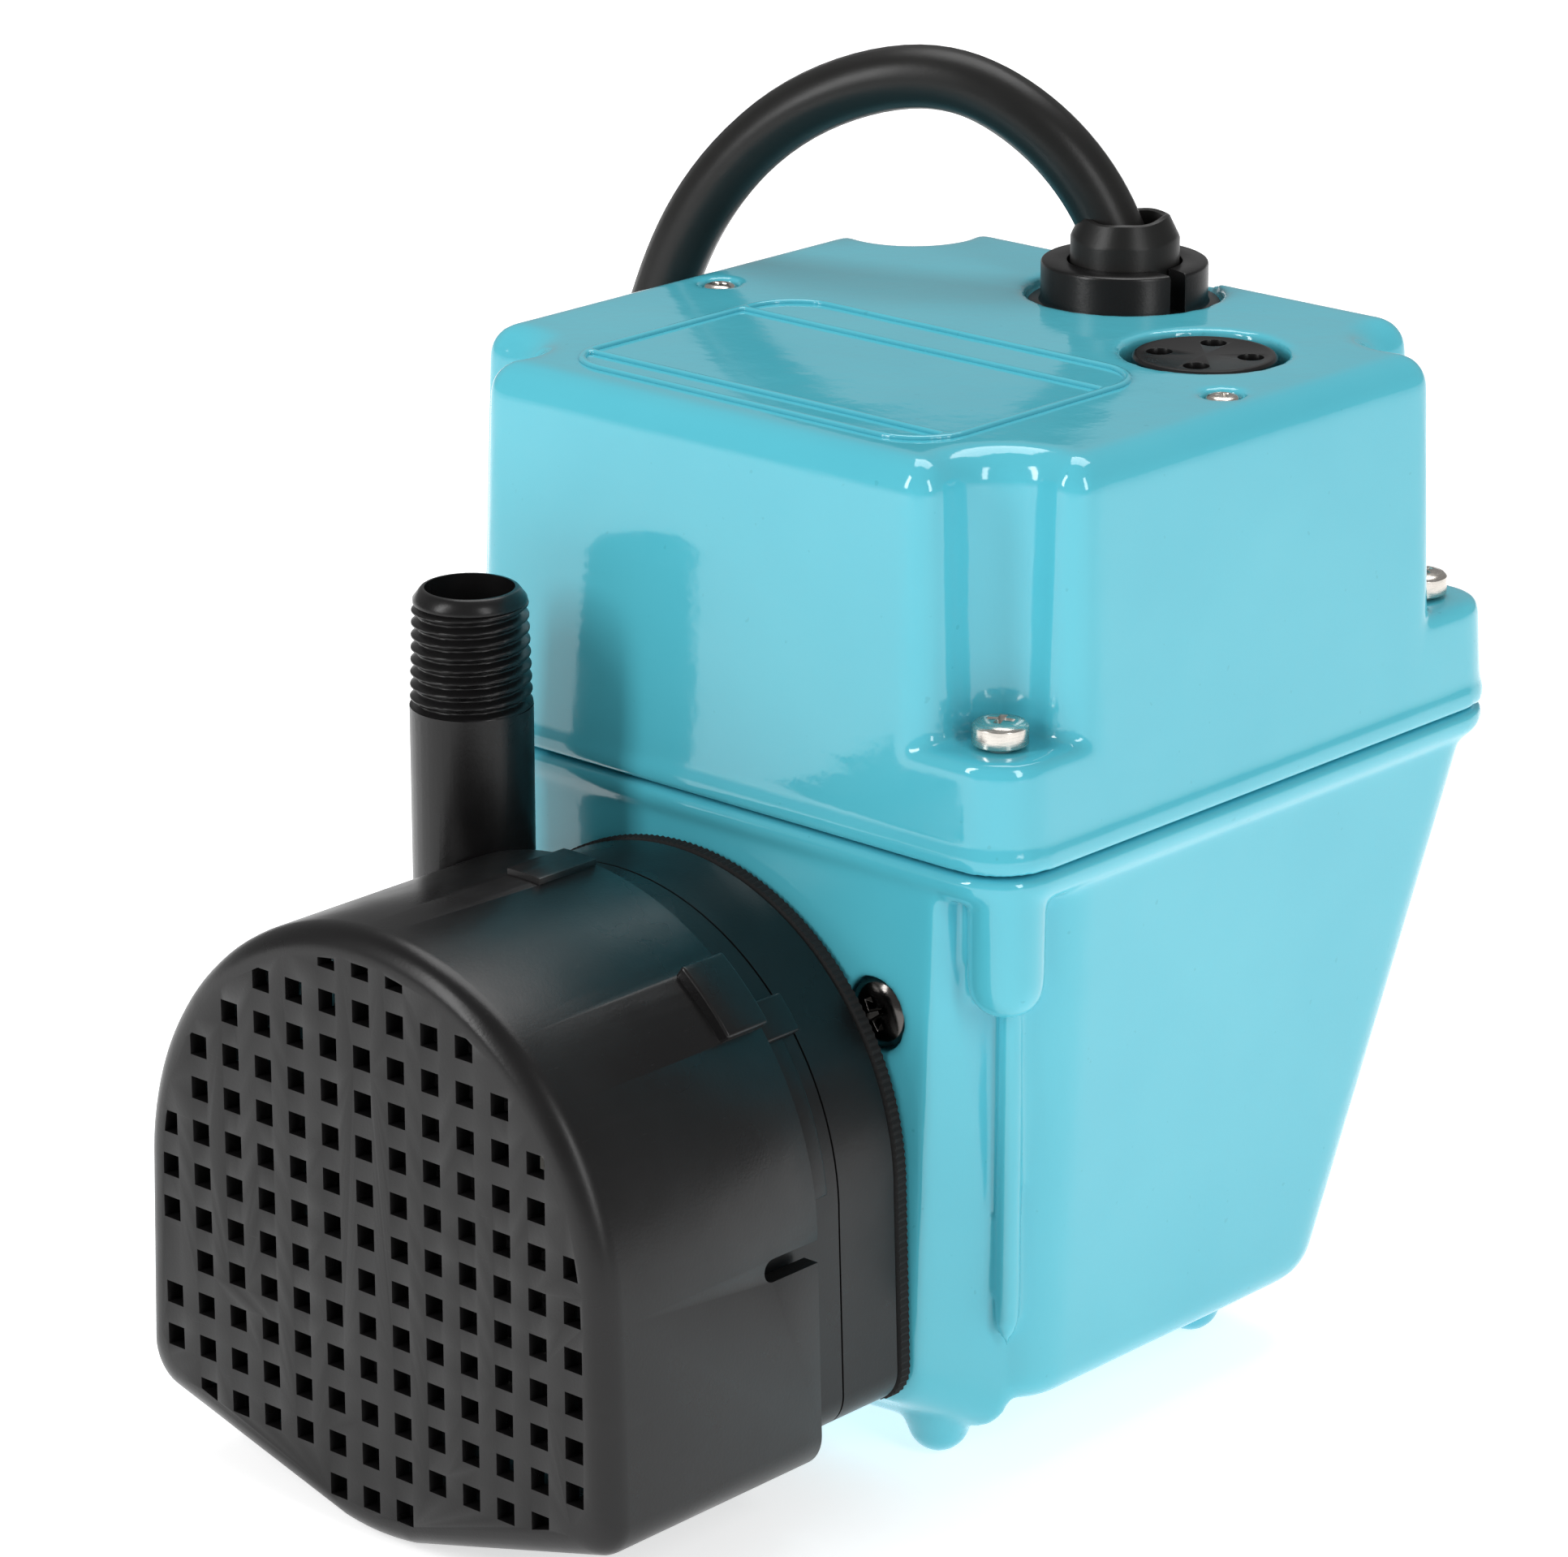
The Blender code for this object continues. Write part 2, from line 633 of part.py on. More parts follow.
HEAD_SCREWS = [(8.0, 0.0, 62.5), (27.0, 0.0, 17.5), (-27.0, 0.0, 17.5)]


# ---------------------------------------------------------------- pump head
def sector(name, inner, outer, start, end, front, back, material=None, collection=CUTTERS):
    """Part of a ring about the shaft axis, between two angles and two depths."""
    outline = arc(0.0, SHAFT_HEIGHT, outer, start, end, 5) + arc(0.0, SHAFT_HEIGHT, inner, end, start, 5)
    return flat(name, [outline], front, back, "depth", material, collection)


def intake_screen():
    def ring(inset, depth):
        return levels_back(head_outline(SCREEN_RADIUS - inset, 8.0 + inset, 0.35 + inset), depth)

    rings = []
    for angle in (0.0, 22.5, 45.0, 67.5, 90.0):
        pull = SCREEN_FILLET * (1.0 - math.sin(math.radians(angle)))
        depth = SCREEN_FILLET * (1.0 - math.cos(math.radians(angle)))
        rings.append(ring(pull, depth))
    screen = loft("intake_screen", [*rings, ring(0.0, SCREEN_DEPTH)], PLASTIC)
    extras = [
        sector("latch", SCREEN_RADIUS - 1.0, SCREEN_RADIUS + 1.5, 39.6, 54.2, 26.4, SCREEN_DEPTH),
        sector("top_rib", SCREEN_RADIUS - 1.0, SCREEN_RADIUS + 0.7, 85.2, 93.1, 24.0, SCREEN_DEPTH),
        sector("left_rib", SCREEN_RADIUS - 1.0, SCREEN_RADIUS + 1.0, 141.7, 150.4, 26.4, SCREEN_DEPTH),
    ]
    fuse(screen, *extras)

    inner = head_outline(SCREEN_RADIUS - SCREEN_WALL, 9.1, 1.45)
    hollow = flat("hollow", [inner], SCREEN_WALL, SCREEN_DEPTH + 2.0, "depth", None, CUTTERS)
    slot = [(36.0, 32.5)] + arc(25.6, 33.8, 1.3, 270.0, 90.0, 6) + [(36.0, 35.1)]
    side_slot = flat("side_slot", [slot], 30.0, 38.0, "side", None, CUTTERS)
    notch = [(PIPE_X - 7.6, 40.0), (PIPE_X - 7.6, 37.4)]
    notch += arc(PIPE_X, 37.4, 7.6, 180.0, 360.0, 10) + [(PIPE_X + 7.6, 40.0)]
    pipe_notch = flat("pipe_notch", [notch], 45.0, 75.0, "up", None, CUTTERS)
    cut(screen, hollow, side_slot, pipe_notch)

    edge = levels_back(head_outline(SCREEN_RADIUS - 3.6, 8.0 + 3.6, 0.35 + 3.2), 0.0)
    holes = square_holes()
    limit = flat("limit", [[(x, z) for x, _, z in edge]], -1.0, SCREEN_WALL + 1.0, "depth", None, CUTTERS)
    combine(holes, [limit], "INTERSECT")
    cut(screen, holes)
    return screen


def square_holes():
    """The grid of square holes, as one cutter."""
    work = bmesh.new()
    size = Matrix.Diagonal((HOLE_SIZE * MM, (SCREEN_WALL + 1.4) * MM, HOLE_SIZE * MM, 1.0))
    for row in range(13):
        z = 66.1 - HOLE_PITCH * row
        for column in range(-6, 7):
            x = column * HOLE_PITCH
            if math.hypot(x, max(z - SHAFT_HEIGHT, 0.0)) > SCREEN_RADIUS - 2.9:
                continue
            if z < 2.9 + abs(x) * 0.25:
                continue
            middle = place(x, SCREEN_WALL / 2.0, z)
            cube = bmesh.ops.create_cube(work, size=1.0)
            bmesh.ops.transform(work, matrix=Matrix.Translation(middle) @ size, verts=cube["verts"])
    mesh = bpy.data.meshes.new("holes")
    work.to_mesh(mesh)
    work.free()
    return link(mesh, "holes", None, CUTTERS)


def volute_outline(radius=VOLUTE_RADIUS):
    drop = VOLUTE_RADIUS - radius
    return head_outline(radius, 9.6 + drop, 2.0 + drop)


def volute():
    front = flat("volute", [volute_outline()], VOLUTE_FRONT, SEAM - 0.15, "depth", PLASTIC)
    axis = (PIPE_X, PIPE_DEPTH, 0.0)
    extras = [
        turned("pipe", pipe_profile(), axis, "up", 20, None, CUTTERS),
        sector("catch", VOLUTE_RADIUS - 1.0, VOLUTE_RADIUS + 1.6, 37.0, 45.0, 33.2, SEAM - 0.3),
        sector("catch_strip", VOLUTE_RADIUS - 1.0, VOLUTE_RADIUS + 0.6, 6.0, 37.5, 33.2, 37.0),
    ]
    fuse(front, *extras)
    axle = (0.0, 0.0, SHAFT_HEIGHT)
    cuts = [
        rod("chamber", CHAMBER_RADIUS, CHAMBER_FRONT, CHAMBER_BACK + 1.0, axle, "back", 28, None, CUTTERS),
        rod("eye", EYE_RADIUS, VOLUTE_FRONT - 1.0, CHAMBER_FRONT + 1.0, axle, "back", 20, None, CUTTERS),
        rod("pipe_bore", PIPE_BORE, 44.0, PIPE_TOP + 1.0, axis, "up", 20, None, CUTTERS),
    ]
    for spot in HEAD_SCREWS:
        cuts.append(rod("screw_recess", 3.6, VOLUTE_FRONT - 1.0, VOLUTE_FRONT + 3.4, spot, "back", 10,
                        None, CUTTERS))
        cuts.append(rod("screw_hole", 1.8, VOLUTE_FRONT, SEAM + 1.0, spot, "back", 10, None, CUTTERS))
    cut(front, *cuts)
    return front


def pipe_profile():
    """The discharge pipe's outside, its tapered thread drawn as ridges."""
    rim = PIPE_TOP
    points = [(0.0, rim), (5.3, rim), (6.1, rim - 1.0)]
    for turn in range(THREAD_TURNS):
        root = rim - 1.55 - THREAD_PITCH * turn
        crest = 6.52 + THREAD_PITCH * turn / 32.0
        points.append((crest - 0.75, root))
        points.append((crest, root - THREAD_PITCH * 0.5))
    last = rim - 1.55 - THREAD_PITCH * THREAD_TURNS
    points += [(6.1, last), (PIPE_RADIUS, last - 1.0), (PIPE_RADIUS, 48.0), (0.0, 48.0)]
    return points


def volute_back_plate():
    plate = flat("volute_back_plate", [volute_outline()], SEAM + 0.15, VOLUTE_BACK, "depth", PLASTIC)
    axle = (0.0, 0.0, SHAFT_HEIGHT)
    cuts = [
        rod("chamber", CHAMBER_RADIUS, SEAM - 1.0, CHAMBER_BACK, axle, "back", 28, None, CUTTERS),
        rod("seal_hole", 7.6, SEAM, VOLUTE_BACK + 1.0, axle, "back", 20, None, CUTTERS),
        rod("pipe_seat", PIPE_RADIUS + 0.3, 47.7, 80.0, (PIPE_X, PIPE_DEPTH, 0.0), "up", 24, None, CUTTERS),
    ]
    for spot in HEAD_SCREWS:
        cuts.append(rod("screw_hole", 1.8, SEAM - 1.0, VOLUTE_BACK + 1.0, spot, "back", 10, None, CUTTERS))
    cut(plate, *cuts)
    return plate


def volute_gasket():
    holes = [circle(x, z, 1.8, 10) for x, _, z in HEAD_SCREWS]
    ring = circle(0.0, SHAFT_HEIGHT, 23.5, 28)
    return flat("volute_gasket", [volute_outline(VOLUTE_RADIUS + 0.1), ring, *holes], GASKET_FRONT + 0.1,
                PAD_FACE - 0.3, "depth", RUBBER)


def screw(name, head_radius, head_height, shank_radius, length, centre, axis, material=STAINLESS, flip=False):
    """A pan head screw: centre lies under its head, on its axis; the shank runs the other way."""
    socket = head_radius * 0.42
    profile = [(0.0, head_height - socket), (socket, head_height), (head_radius * 0.85, head_height),
               (head_radius, head_height * 0.6), (head_radius, 0.0), (shank_radius, 0.0),
               (shank_radius, -length), (0.0, -length)]
    if flip:
        profile = [(radius, -height) for radius, height in reversed(profile)]
    return turned(name, profile, centre, axis, 12, material)


def impeller():
    """Open impeller: a disc with a hub and six swept vanes facing the eye."""
    axle = (0.0, 0.0, SHAFT_HEIGHT)
    profile = [(0.0, 43.4), (21.0, 43.4), (21.0, 41.6), (6.2, 41.6), (5.6, 30.0), (3.0, 28.4), (0.0, 28.4)]
    wheel = turned("impeller", profile, axle, "back", 28, NYLON)
    vanes = []
    for number in range(6):
        base = 60.0 * number
        line = []
        for step in range(6):
            share = step / 5.0
            radius = 5.0 + 16.3 * share
            angle = math.radians(base + 50.0 * share)
            line.append((radius, angle))
        outline = [(r * math.cos(t - 0.9 / r), SHAFT_HEIGHT + r * math.sin(t - 0.9 / r)) for r, t in line]
        outline += [(r * math.cos(t + 0.9 / r), SHAFT_HEIGHT + r * math.sin(t + 0.9 / r))
                    for r, t in reversed(line)]
        vanes.append(flat("vane", [outline], 32.0, 42.0, "depth", None, CUTTERS))
    fuse(wheel, *vanes)
    cut(wheel, rod("shaft_bore", 4.3, 30.5, 44.0, axle, "back", 20, None, CUTTERS))
    return wheel


# ---------------------------------------------------------------- motor
AXLE = (0.0, 0.0, SHAFT_HEIGHT)
MOTOR_SCREWS = [(20.0, 0.0, 47.0), (-20.0, 0.0, 47.0), (20.0, 0.0, 22.0), (-20.0, 0.0, 22.0)]


def stator_core():
    outer = rounded_rectangle(24.0, 33.0, 2.0, 2, (0.0, 45.5))
    window = rounded_rectangle(14.0, 7.5, 1.0, 2, (0.0, 59.0))
    bore = circle(0.0, SHAFT_HEIGHT, ROTOR_RADIUS + 0.5, 28)
    holes = [circle(x, z, 2.2, 10) for x, _, z in MOTOR_SCREWS]
    return flat("stator_core", [outer, window, bore, *holes], STATOR_FRONT, STATOR_BACK, "depth", LAMINATION)


def coil_bobbin():
    """The nylon former round the core's top leg, with a flange at each end."""
    def sleeve(name, grow, left, right):
        outer = [(72.0 - grow, 65.0 - grow), (104.0 + grow, 65.0 - grow),
                 (104.0 + grow, 80.0 + grow), (72.0 - grow, 80.0 + grow)]
        inner = [(73.6, 66.1), (102.4, 66.1), (102.4, 78.9), (73.6, 78.9)]
        return flat(name, [outer, inner], left, right, "side", NYLON if name == "coil_bobbin" else None,
                    PARTS if name == "coil_bobbin" else CUTTERS)

    bobbin = sleeve("coil_bobbin", 0.0, -12.4, 12.4)
    fuse(bobbin, sleeve("left_flange", 5.8, -12.4, -11.2), sleeve("right_flange", 5.8, 11.2, 12.4))
    return bobbin


def coil_winding():
    outer = rounded_rectangle(21.0, 12.7, 4.0, 3, (88.0, 72.5))
    inner = rounded_rectangle(16.4, 7.9, 0.6, 1, (88.0, 72.5))
    return flat("coil_winding", [outer, inner], -10.8, 10.8, "side", COPPER)


def rotor_core():
    profile = [(4.3, 101.5), (ROTOR_RADIUS, 101.5), (ROTOR_RADIUS, 74.5), (4.3, 74.5)]
    return turned("rotor_core", profile, AXLE, "back", 24, LAMINATION, PARTS, closed=True)


def rotor_end_ring(name, front):
    return tube(name, 11.2, 7.5, front, front + 2.0, AXLE, "back", 24, ALUMINIUM)


def shaft():
    profile = [(0.0, 115.0), (3.2, 115.0), (4.0, 114.2), (4.0, 31.6), (3.4, 31.0), (0.0, 31.0)]
    return turned("shaft", profile, AXLE, "back", 24, STAINLESS)


def bearing(name, front):
    return tube(name, 7.1, 4.06, front, front + 7.0, AXLE, "back", 24, BRONZE)


def bracket(name, outline, plate, cup, posts, extra_holes=()):
    """A bearing bracket: plate, bearing cup and four posts against the stator, each from front to back."""
    piece = flat(name, [outline], *plate, "depth", ALUMINIUM)
    solids = [rod("cup", 9.6, *cup, AXLE, "back", 20, None, CUTTERS)]
    solids += [rod("post", 3.8, *posts, spot, "back", 10, None, CUTTERS) for spot in MOTOR_SCREWS]
    fuse(piece, *solids)
    low = min(plate[0], cup[0], posts[0]) - 1.0
    high = max(plate[1], cup[1], posts[1]) + 1.0
    holes = [rod("bearing_bore", 7.4, low, high, AXLE, "back", 20, None, CUTTERS)]
    holes += [rod("screw_hole", 2.2, low, high, spot, "back", 10, None, CUTTERS) for spot in MOTOR_SCREWS]
    holes += [rod("plate_hole", 2.3, low, high, spot, "back", 10, None, CUTTERS) for spot in extra_holes]
    cut(piece, *holes)
    return piece


def front_bracket():
    outline = [(31.5, 59.5), (-31.5, 59.5), (-31.5, 48.0), (-25.0, 17.0), (25.0, 17.0), (31.5, 48.0)]
    return bracket("front_bracket", outline, (62.5, 65.5), (62.9, 71.8), (65.0, STATOR_FRONT - 0.3),
                   [plate_screw_place(-1), plate_screw_place(1)])


def rear_bracket():
    outline = [(26.0, 54.0), (-26.0, 54.0), (-26.0, 30.0), (-24.0, 17.0), (24.0, 17.0), (26.0, 30.0)]
    return bracket("rear_bracket", outline, (106.0, 109.0), (106.4, 114.4), (STATOR_BACK + 0.3, 106.5))


def seal_parts():
    tube("seal_seat", 8.7, 4.6, 51.6, 56.4, AXLE, "back", 24, CERAMIC)
    tube("seal_head", 7.0, 4.3, 47.9, 51.2, AXLE, "back", 24, RUBBER)
    points = []
    for step in range(0, 29):
        angle = math.radians(45.0 * step)
        points.append((5.9 * math.cos(angle), 44.5 + 2.7 * step / 28.0, SHAFT_HEIGHT + 5.9 * math.sin(angle)))
    wire("seal_spring", points, 0.3, STAINLESS, 1)


# ---------------------------------------------------------------- cord entry and diaphragm
def gland_nut():
    """A thick ring with a foot that fills the recess, split by one gap at its front right."""
    centre = (0.0, GLAND_DEPTH, 0.0)
    foot = 114.6
    profile = [(6.65, 119.4), (9.75, 119.4), (9.75, foot), (11.2, foot), (11.2, 113.8), (6.65, 113.8)]
    nut = turned("cord_gland_nut", profile, centre, "up", 24, PLASTIC, PARTS, closed=True)
    gap = block("gap", (6.0, -1.1, foot + 0.1), (11.0, 1.1, 121.0), None, CUTTERS)
    turn = Matrix.Rotation(math.radians(GLAND_GAP_ANGLE), 4, "Z")
    gap.data.transform(Matrix.Translation(place(*centre)) @ turn @ Matrix.Translation(-place(0.0, 0.0, 0.0)))
    cut(nut, gap)
    return nut


def cord_strain_relief():
    profile = [(4.1, 124.9), (5.2, 124.9), (6.35, 122.4), (6.35, 104.0), (4.1, 104.0)]
    return turned("cord_strain_relief", profile, (0.0, GLAND_DEPTH, 0.0), "up", 24, RUBBER, PARTS, closed=True)


def gland_lock_ring():
    return tube("gland_lock_ring", 8.8, 6.65, 103.8, 105.7, (0.0, GLAND_DEPTH, 0.0), "up", 24, STAINLESS)


def diaphragm_cap():
    cap = rod("diaphragm_cap", 8.2, CAP_BOTTOM, CAP_BOTTOM + 1.9, (CAP_X, CAP_DEPTH, 0.0), "up", 24, PLASTIC)
    holes = []
    for number in range(4):
        angle = math.radians(27.6 + 90.0 * number)
        spot = (CAP_X + 5.2 * math.cos(angle), CAP_DEPTH + 5.2 * math.sin(angle), 0.0)
        holes.append(rod("vent", 1.5, CAP_BOTTOM - 1.0, COVER_TOP + 1.0, spot, "up", 12, None, CUTTERS))
    cut(cap, *holes)
    return cap


def expansion_diaphragm():
    """A cupped rubber disc, its thick rim clamped under the cap."""
    profile = [(0.0, 1.7), (5.0, 1.7), (5.6, 2.7), (8.9, 2.7), (8.9, 0.5), (6.1, 0.5), (6.1, -0.5),
               (5.2, -1.1), (0.0, -1.1)]
    return turned("expansion_diaphragm", profile, (CAP_X, CAP_DEPTH, CAP_FLOOR), "up", 28, RUBBER)


LEAD_ROUTES = {
    "live": [(-1.6, 125.0, 99.4), (-3.0, 123.0, 94.0), (-5.5, 118.0, 86.0), (-5.5, 110.4, 79.0)],
    "neutral": [(1.6, 125.0, 99.4), (3.0, 123.0, 94.0), (5.5, 118.0, 86.0), (5.5, 110.4, 79.0)],
    "ground": [(0.0, 127.2, 99.4), (4.0, 128.5, 93.0), (18.0, 127.5, 95.0), (31.0, 112.0, 97.5),
               (36.4, 101.5, 99.6)],
}


def leads():
    for label, route in LEAD_ROUTES.items():
        wire(label + "_lead", smooth_path(route, 2.5), 0.9, WIRE_COLOURS[label], 1)


# ---------------------------------------------------------------- cord, coil and plug
CORD_ROUTE = [(0.0, 125.0, 101.0), (0.0, 125.0, 113.5), (0.0, 125.0, 126.0), (-3.6, 123.7, 132.6),
              (-11.0, 121.0, 137.9), (-24.0, 116.2, 140.6), (-40.0, 110.6, 134.2), (-51.0, 106.6, 121.0),
              (-55.6, 105.0, 108.0), (-59.2, 102.6, 92.0), (-61.0, 100.6, 72.0), (-61.0, 99.6, 50.0),
              (-59.5, 100.4, 29.7), (-58.1, 103.5, 21.5), (-55.9, 108.4, 14.5), (-53.0, 114.7, 9.1),
              (-49.6, 122.2, 5.7), (-45.9, 130.2, 4.5)]


def power_cord():
    return wire("power_cord", smooth_path(CORD_ROUTE, 8.5), CORD_RADIUS, RUBBER, 3)


def cord_coil():
    middle = (COIL_INNER + COIL_OUTER) / 2.0
    soft = 3.0
    profile = [(middle, COIL_HIGH), (COIL_OUTER - soft, COIL_HIGH), (COIL_OUTER, COIL_HIGH - soft),
               (COIL_OUTER, COIL_LOW + soft), (COIL_OUTER - soft, COIL_LOW), (COIL_INNER + soft, COIL_LOW),
               (COIL_INNER, COIL_LOW + soft), (COIL_INNER, COIL_HIGH - soft), (COIL_INNER + soft, COIL_HIGH)]
    return turned("cord_coil", profile, (*COIL_CENTRE, 0.0), "up", 36, RUBBER, PARTS, closed=True)


def coil_tie():
    x, depth = COIL_CENTRE
    middle = (x + (COIL_INNER + COIL_OUTER) / 2.0, (COIL_LOW + COIL_HIGH) / 2.0)
    half_x = (COIL_OUTER - COIL_INNER) / 2.0
    half_z = (COIL_HIGH - COIL_LOW) / 2.0
    outer = rounded_rectangle(half_x + 1.3, half_z + 1.3, 3.6, 3, middle)
    inner = rounded_rectangle(half_x + 0.4, half_z + 0.4, 2.4, 3, middle)
    return flat("coil_tie", [outer, inner], depth - 2.5, depth + 2.5, "depth", PLASTIC)


def plug():
    """Moulded three-pin plug lying on the coil, its pins towards -X."""
    start = COIL_CENTRE[0] + 12.0
    face = start - 46.0
    depth = COIL_CENTRE[1] + 40.0
    height = COIL_HIGH + 12.4
    profile = [(0.0, start), (5.0, start), (6.2, start - 13.0), (9.0, start - 17.0), (12.0, start - 24.0),
               (12.0, face + 1.5), (11.2, face), (0.0, face)]
    body = turned("plug_body", profile, (0.0, depth, height), "side", 24, RUBBER)
    pin = (0.0, depth, height - 6.5)
    pockets = [rod("pocket", 2.7, face - 1.0, face + 6.0, pin, "side", 12, None, CUTTERS)]
    for side in (-6.35, 6.35):
        pockets.append(block("pocket", (face - 1.0, depth + side - 1.1, height - 0.9),
                             (face + 6.0, depth + side + 1.1, height + 6.2), None, CUTTERS))
    cut(body, *pockets)
    for name, side in (("plug_blade_left", -6.35), ("plug_blade_right", 6.35)):
        block(name, (face - 16.5, depth + side - 0.8, height - 0.5),
              (face + 5.6, depth + side + 0.8, height + 5.8), BRASS)
    rod("plug_ground_pin", 2.35, face - 18.0, face + 5.6, pin, "side", 12, BRASS)


# ---------------------------------------------------------------- build

motor_cover()
name_plate_border()
motor_housing()
cover_gasket()
for label, (side, end) in zip(("front_right", "front_left", "rear_right", "rear_left"), CORNERS):
    x, depth = cover_screw_place(side, end)
    screw("cover_screw_" + label, 3.08, 2.8, 1.5, 18.0, (x, depth, LEDGE_HEIGHT + 0.3), "up")
for label, side in (("left", -1), ("right", 1)):
    spot = (side * MOUNT_SCREW_X, MOUNT_SCREW_DEPTH, 113.7)
    screw("mount_screw_" + label, 1.85, 1.9, 1.4, 11.0, spot, "up")
    x, _, z = plate_screw_place(side)
    screw("motor_plate_screw_" + label, 3.9, 2.3, 1.9, 11.6, (x, 53.4, z), "back", STAINLESS, True)

intake_screen()
volute()
volute_back_plate()
volute_gasket()
for label, (x, _, z) in zip(("top", "right", "left"), HEAD_SCREWS):
    screw("volute_screw_" + label, 3.2, 2.4, 1.45, 29.8, (x, VOLUTE_FRONT + 3.1, z), "back", STAINLESS, True)

impeller()
seal_parts()
shaft()
rotor_core()
rotor_end_ring("rotor_end_ring_front", 72.2)
rotor_end_ring("rotor_end_ring_rear", 101.8)
bearing("front_bearing", 63.6)
bearing("rear_bearing", 107.0)
front_bracket()
rear_bracket()
stator_core()
coil_bobbin()
coil_winding()
for number, (x, _, z) in enumerate(MOTOR_SCREWS, 1):
    screw("motor_screw_%d" % number, 3.1, 2.2, 1.9, 45.0, (x, 109.3, z), "back")

gland_nut()
cord_strain_relief()
gland_lock_ring()
diaphragm_cap()
expansion_diaphragm()
leads()
power_cord()
cord_coil()
coil_tie()
plug()


# ---------------------------------------------------------------- moving pieces
def hang_on_axis(name, nodes):
    """Parent pieces, which turn or slide about the shaft axis, to an empty on it, leaving them in place."""
    axis = bpy.data.objects.new(name, None)
    axis.location = (0.0, 0.0, SHAFT_HEIGHT * MM)
    PARTS.objects.link(axis)
    bpy.context.view_layer.update()
    for node in nodes:
        piece = bpy.data.objects[node]
        piece.parent = axis
        piece.matrix_parent_inverse = axis.matrix_world.inverted()


hang_on_axis("rotor_axis", ["shaft", "rotor_core", "rotor_end_ring_front", "rotor_end_ring_rear", "impeller",
                            "seal_head", "seal_spring"])
hang_on_axis("screen_axis", ["intake_screen"])
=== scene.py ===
"""Looks of the submersible pump: detailed castings, pump head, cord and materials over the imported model.

Lengths below are in millimetres; "depth" runs from the intake screen's face towards the back of the pump.
"""

import json
import math

import bmesh
import bpy
from mathutils import Matrix, Vector


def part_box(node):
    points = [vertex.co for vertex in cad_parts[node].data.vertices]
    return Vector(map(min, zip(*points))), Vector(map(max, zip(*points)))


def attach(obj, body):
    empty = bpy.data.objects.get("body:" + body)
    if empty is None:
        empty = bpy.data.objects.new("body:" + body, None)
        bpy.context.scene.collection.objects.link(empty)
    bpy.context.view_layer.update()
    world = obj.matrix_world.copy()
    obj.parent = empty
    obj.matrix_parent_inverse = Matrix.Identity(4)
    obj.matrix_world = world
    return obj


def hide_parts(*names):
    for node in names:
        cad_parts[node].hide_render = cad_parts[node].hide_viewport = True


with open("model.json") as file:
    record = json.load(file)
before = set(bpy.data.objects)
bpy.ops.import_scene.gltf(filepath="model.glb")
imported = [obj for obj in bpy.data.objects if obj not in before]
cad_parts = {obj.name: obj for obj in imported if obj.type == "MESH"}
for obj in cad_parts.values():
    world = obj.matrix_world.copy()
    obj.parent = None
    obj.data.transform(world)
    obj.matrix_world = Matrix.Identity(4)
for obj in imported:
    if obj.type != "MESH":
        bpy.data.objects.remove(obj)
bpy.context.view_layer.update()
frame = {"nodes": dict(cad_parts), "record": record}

MM = 0.001
SCREEN_LOW, SCREEN_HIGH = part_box("intake_screen")
COVER_LOW, COVER_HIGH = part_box("motor_cover")
HOUSING_LOW, HOUSING_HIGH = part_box("motor_housing")
FACE = SCREEN_LOW.y / MM                     # world y of the screen's front face
CASTING_WIDTH = (HOUSING_HIGH.x - HOUSING_LOW.x) / MM
CASTING_DEPTH = (HOUSING_HIGH.y - HOUSING_LOW.y) / MM
CASTING_MIDDLE = (HOUSING_HIGH.y + HOUSING_LOW.y) / 2.0 / MM - FACE
PARTING = (HOUSING_HIGH.z + COVER_LOW.z) / 2.0 / MM
COVER_TOP = COVER_HIGH.z / MM

FLANGE_CORNER = 7.3
SCREW_INSET = 7.5
POCKET_RADIUS = 4.5
LIP_INSET = 4.9
LEDGE_HEIGHT = 85.0
COVER_DRAFT = 1.45
TOP_FILLET = 3.6
SHAFT_HEIGHT = 34.8
SCREEN_RADIUS = 35.0
SCREEN_DEPTH = (SCREEN_HIGH.y - SCREEN_LOW.y) / MM
SCREEN_WALL = 2.0
SCREEN_FILLET = 2.9
HOLE_PITCH = 5.08
HOLE_SIZE = 2.55
VOLUTE_RADIUS = 32.2
SEAM = 39.3
VOLUTE_BACK = 48.2
PAD_FACE = 50.7
BODY_FRONT = 57.8
HOUSING_BOTTOM = 7.3
FOOT_X = 29.5
FOOT_DEPTHS = (59.2, 104.0)
FOOT_RADIUS = 3.6
PIPE_X = -20.4
PIPE_DEPTH = 37.4
PIPE_RADIUS = 6.85
PIPE_BORE = 5.0
PIPE_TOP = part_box("volute")[1].z / MM
THREAD_PITCH = 25.4 / 18.0
THREAD_TURNS = 9
GLAND_DEPTH = 125.0
CAP_X = 24.4
CAP_DEPTH = 109.3
CAP_FLOOR = 110.4
CORD_RADIUS = 3.75
COIL_X = -76.0
COIL_DEPTH = 177.0
COIL_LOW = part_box("cord_coil")[0].z / MM
HEAD_SCREWS = ((8.0, 62.5), (27.0, 17.5), (-27.0, 17.5))
PLATE_SCREWS = ((26.6, 53.3), (-26.6, 53.3))
CORNERS = ((1, -1), (-1, -1), (1, 1), (-1, 1))
TOP_SCREW_X = 37.3
TOP_SCREW_DEPTH = 96.1
CAVITY_HALF = (38.8, 37.4)
CAVITY_TOP_HALF = (37.6, 36.2)
CASTING_VOXEL = 0.55
CASTING_ROUNDS = 7
CHAMBER_RADIUS = 25.0
NOTCH_RADIUS = 7.6
GLAND_RECESS = 11.6
GLAND_GAP_ANGLE = -11.6
CAP_RECESS = 9.5
VENT_RADIUS = 1.5
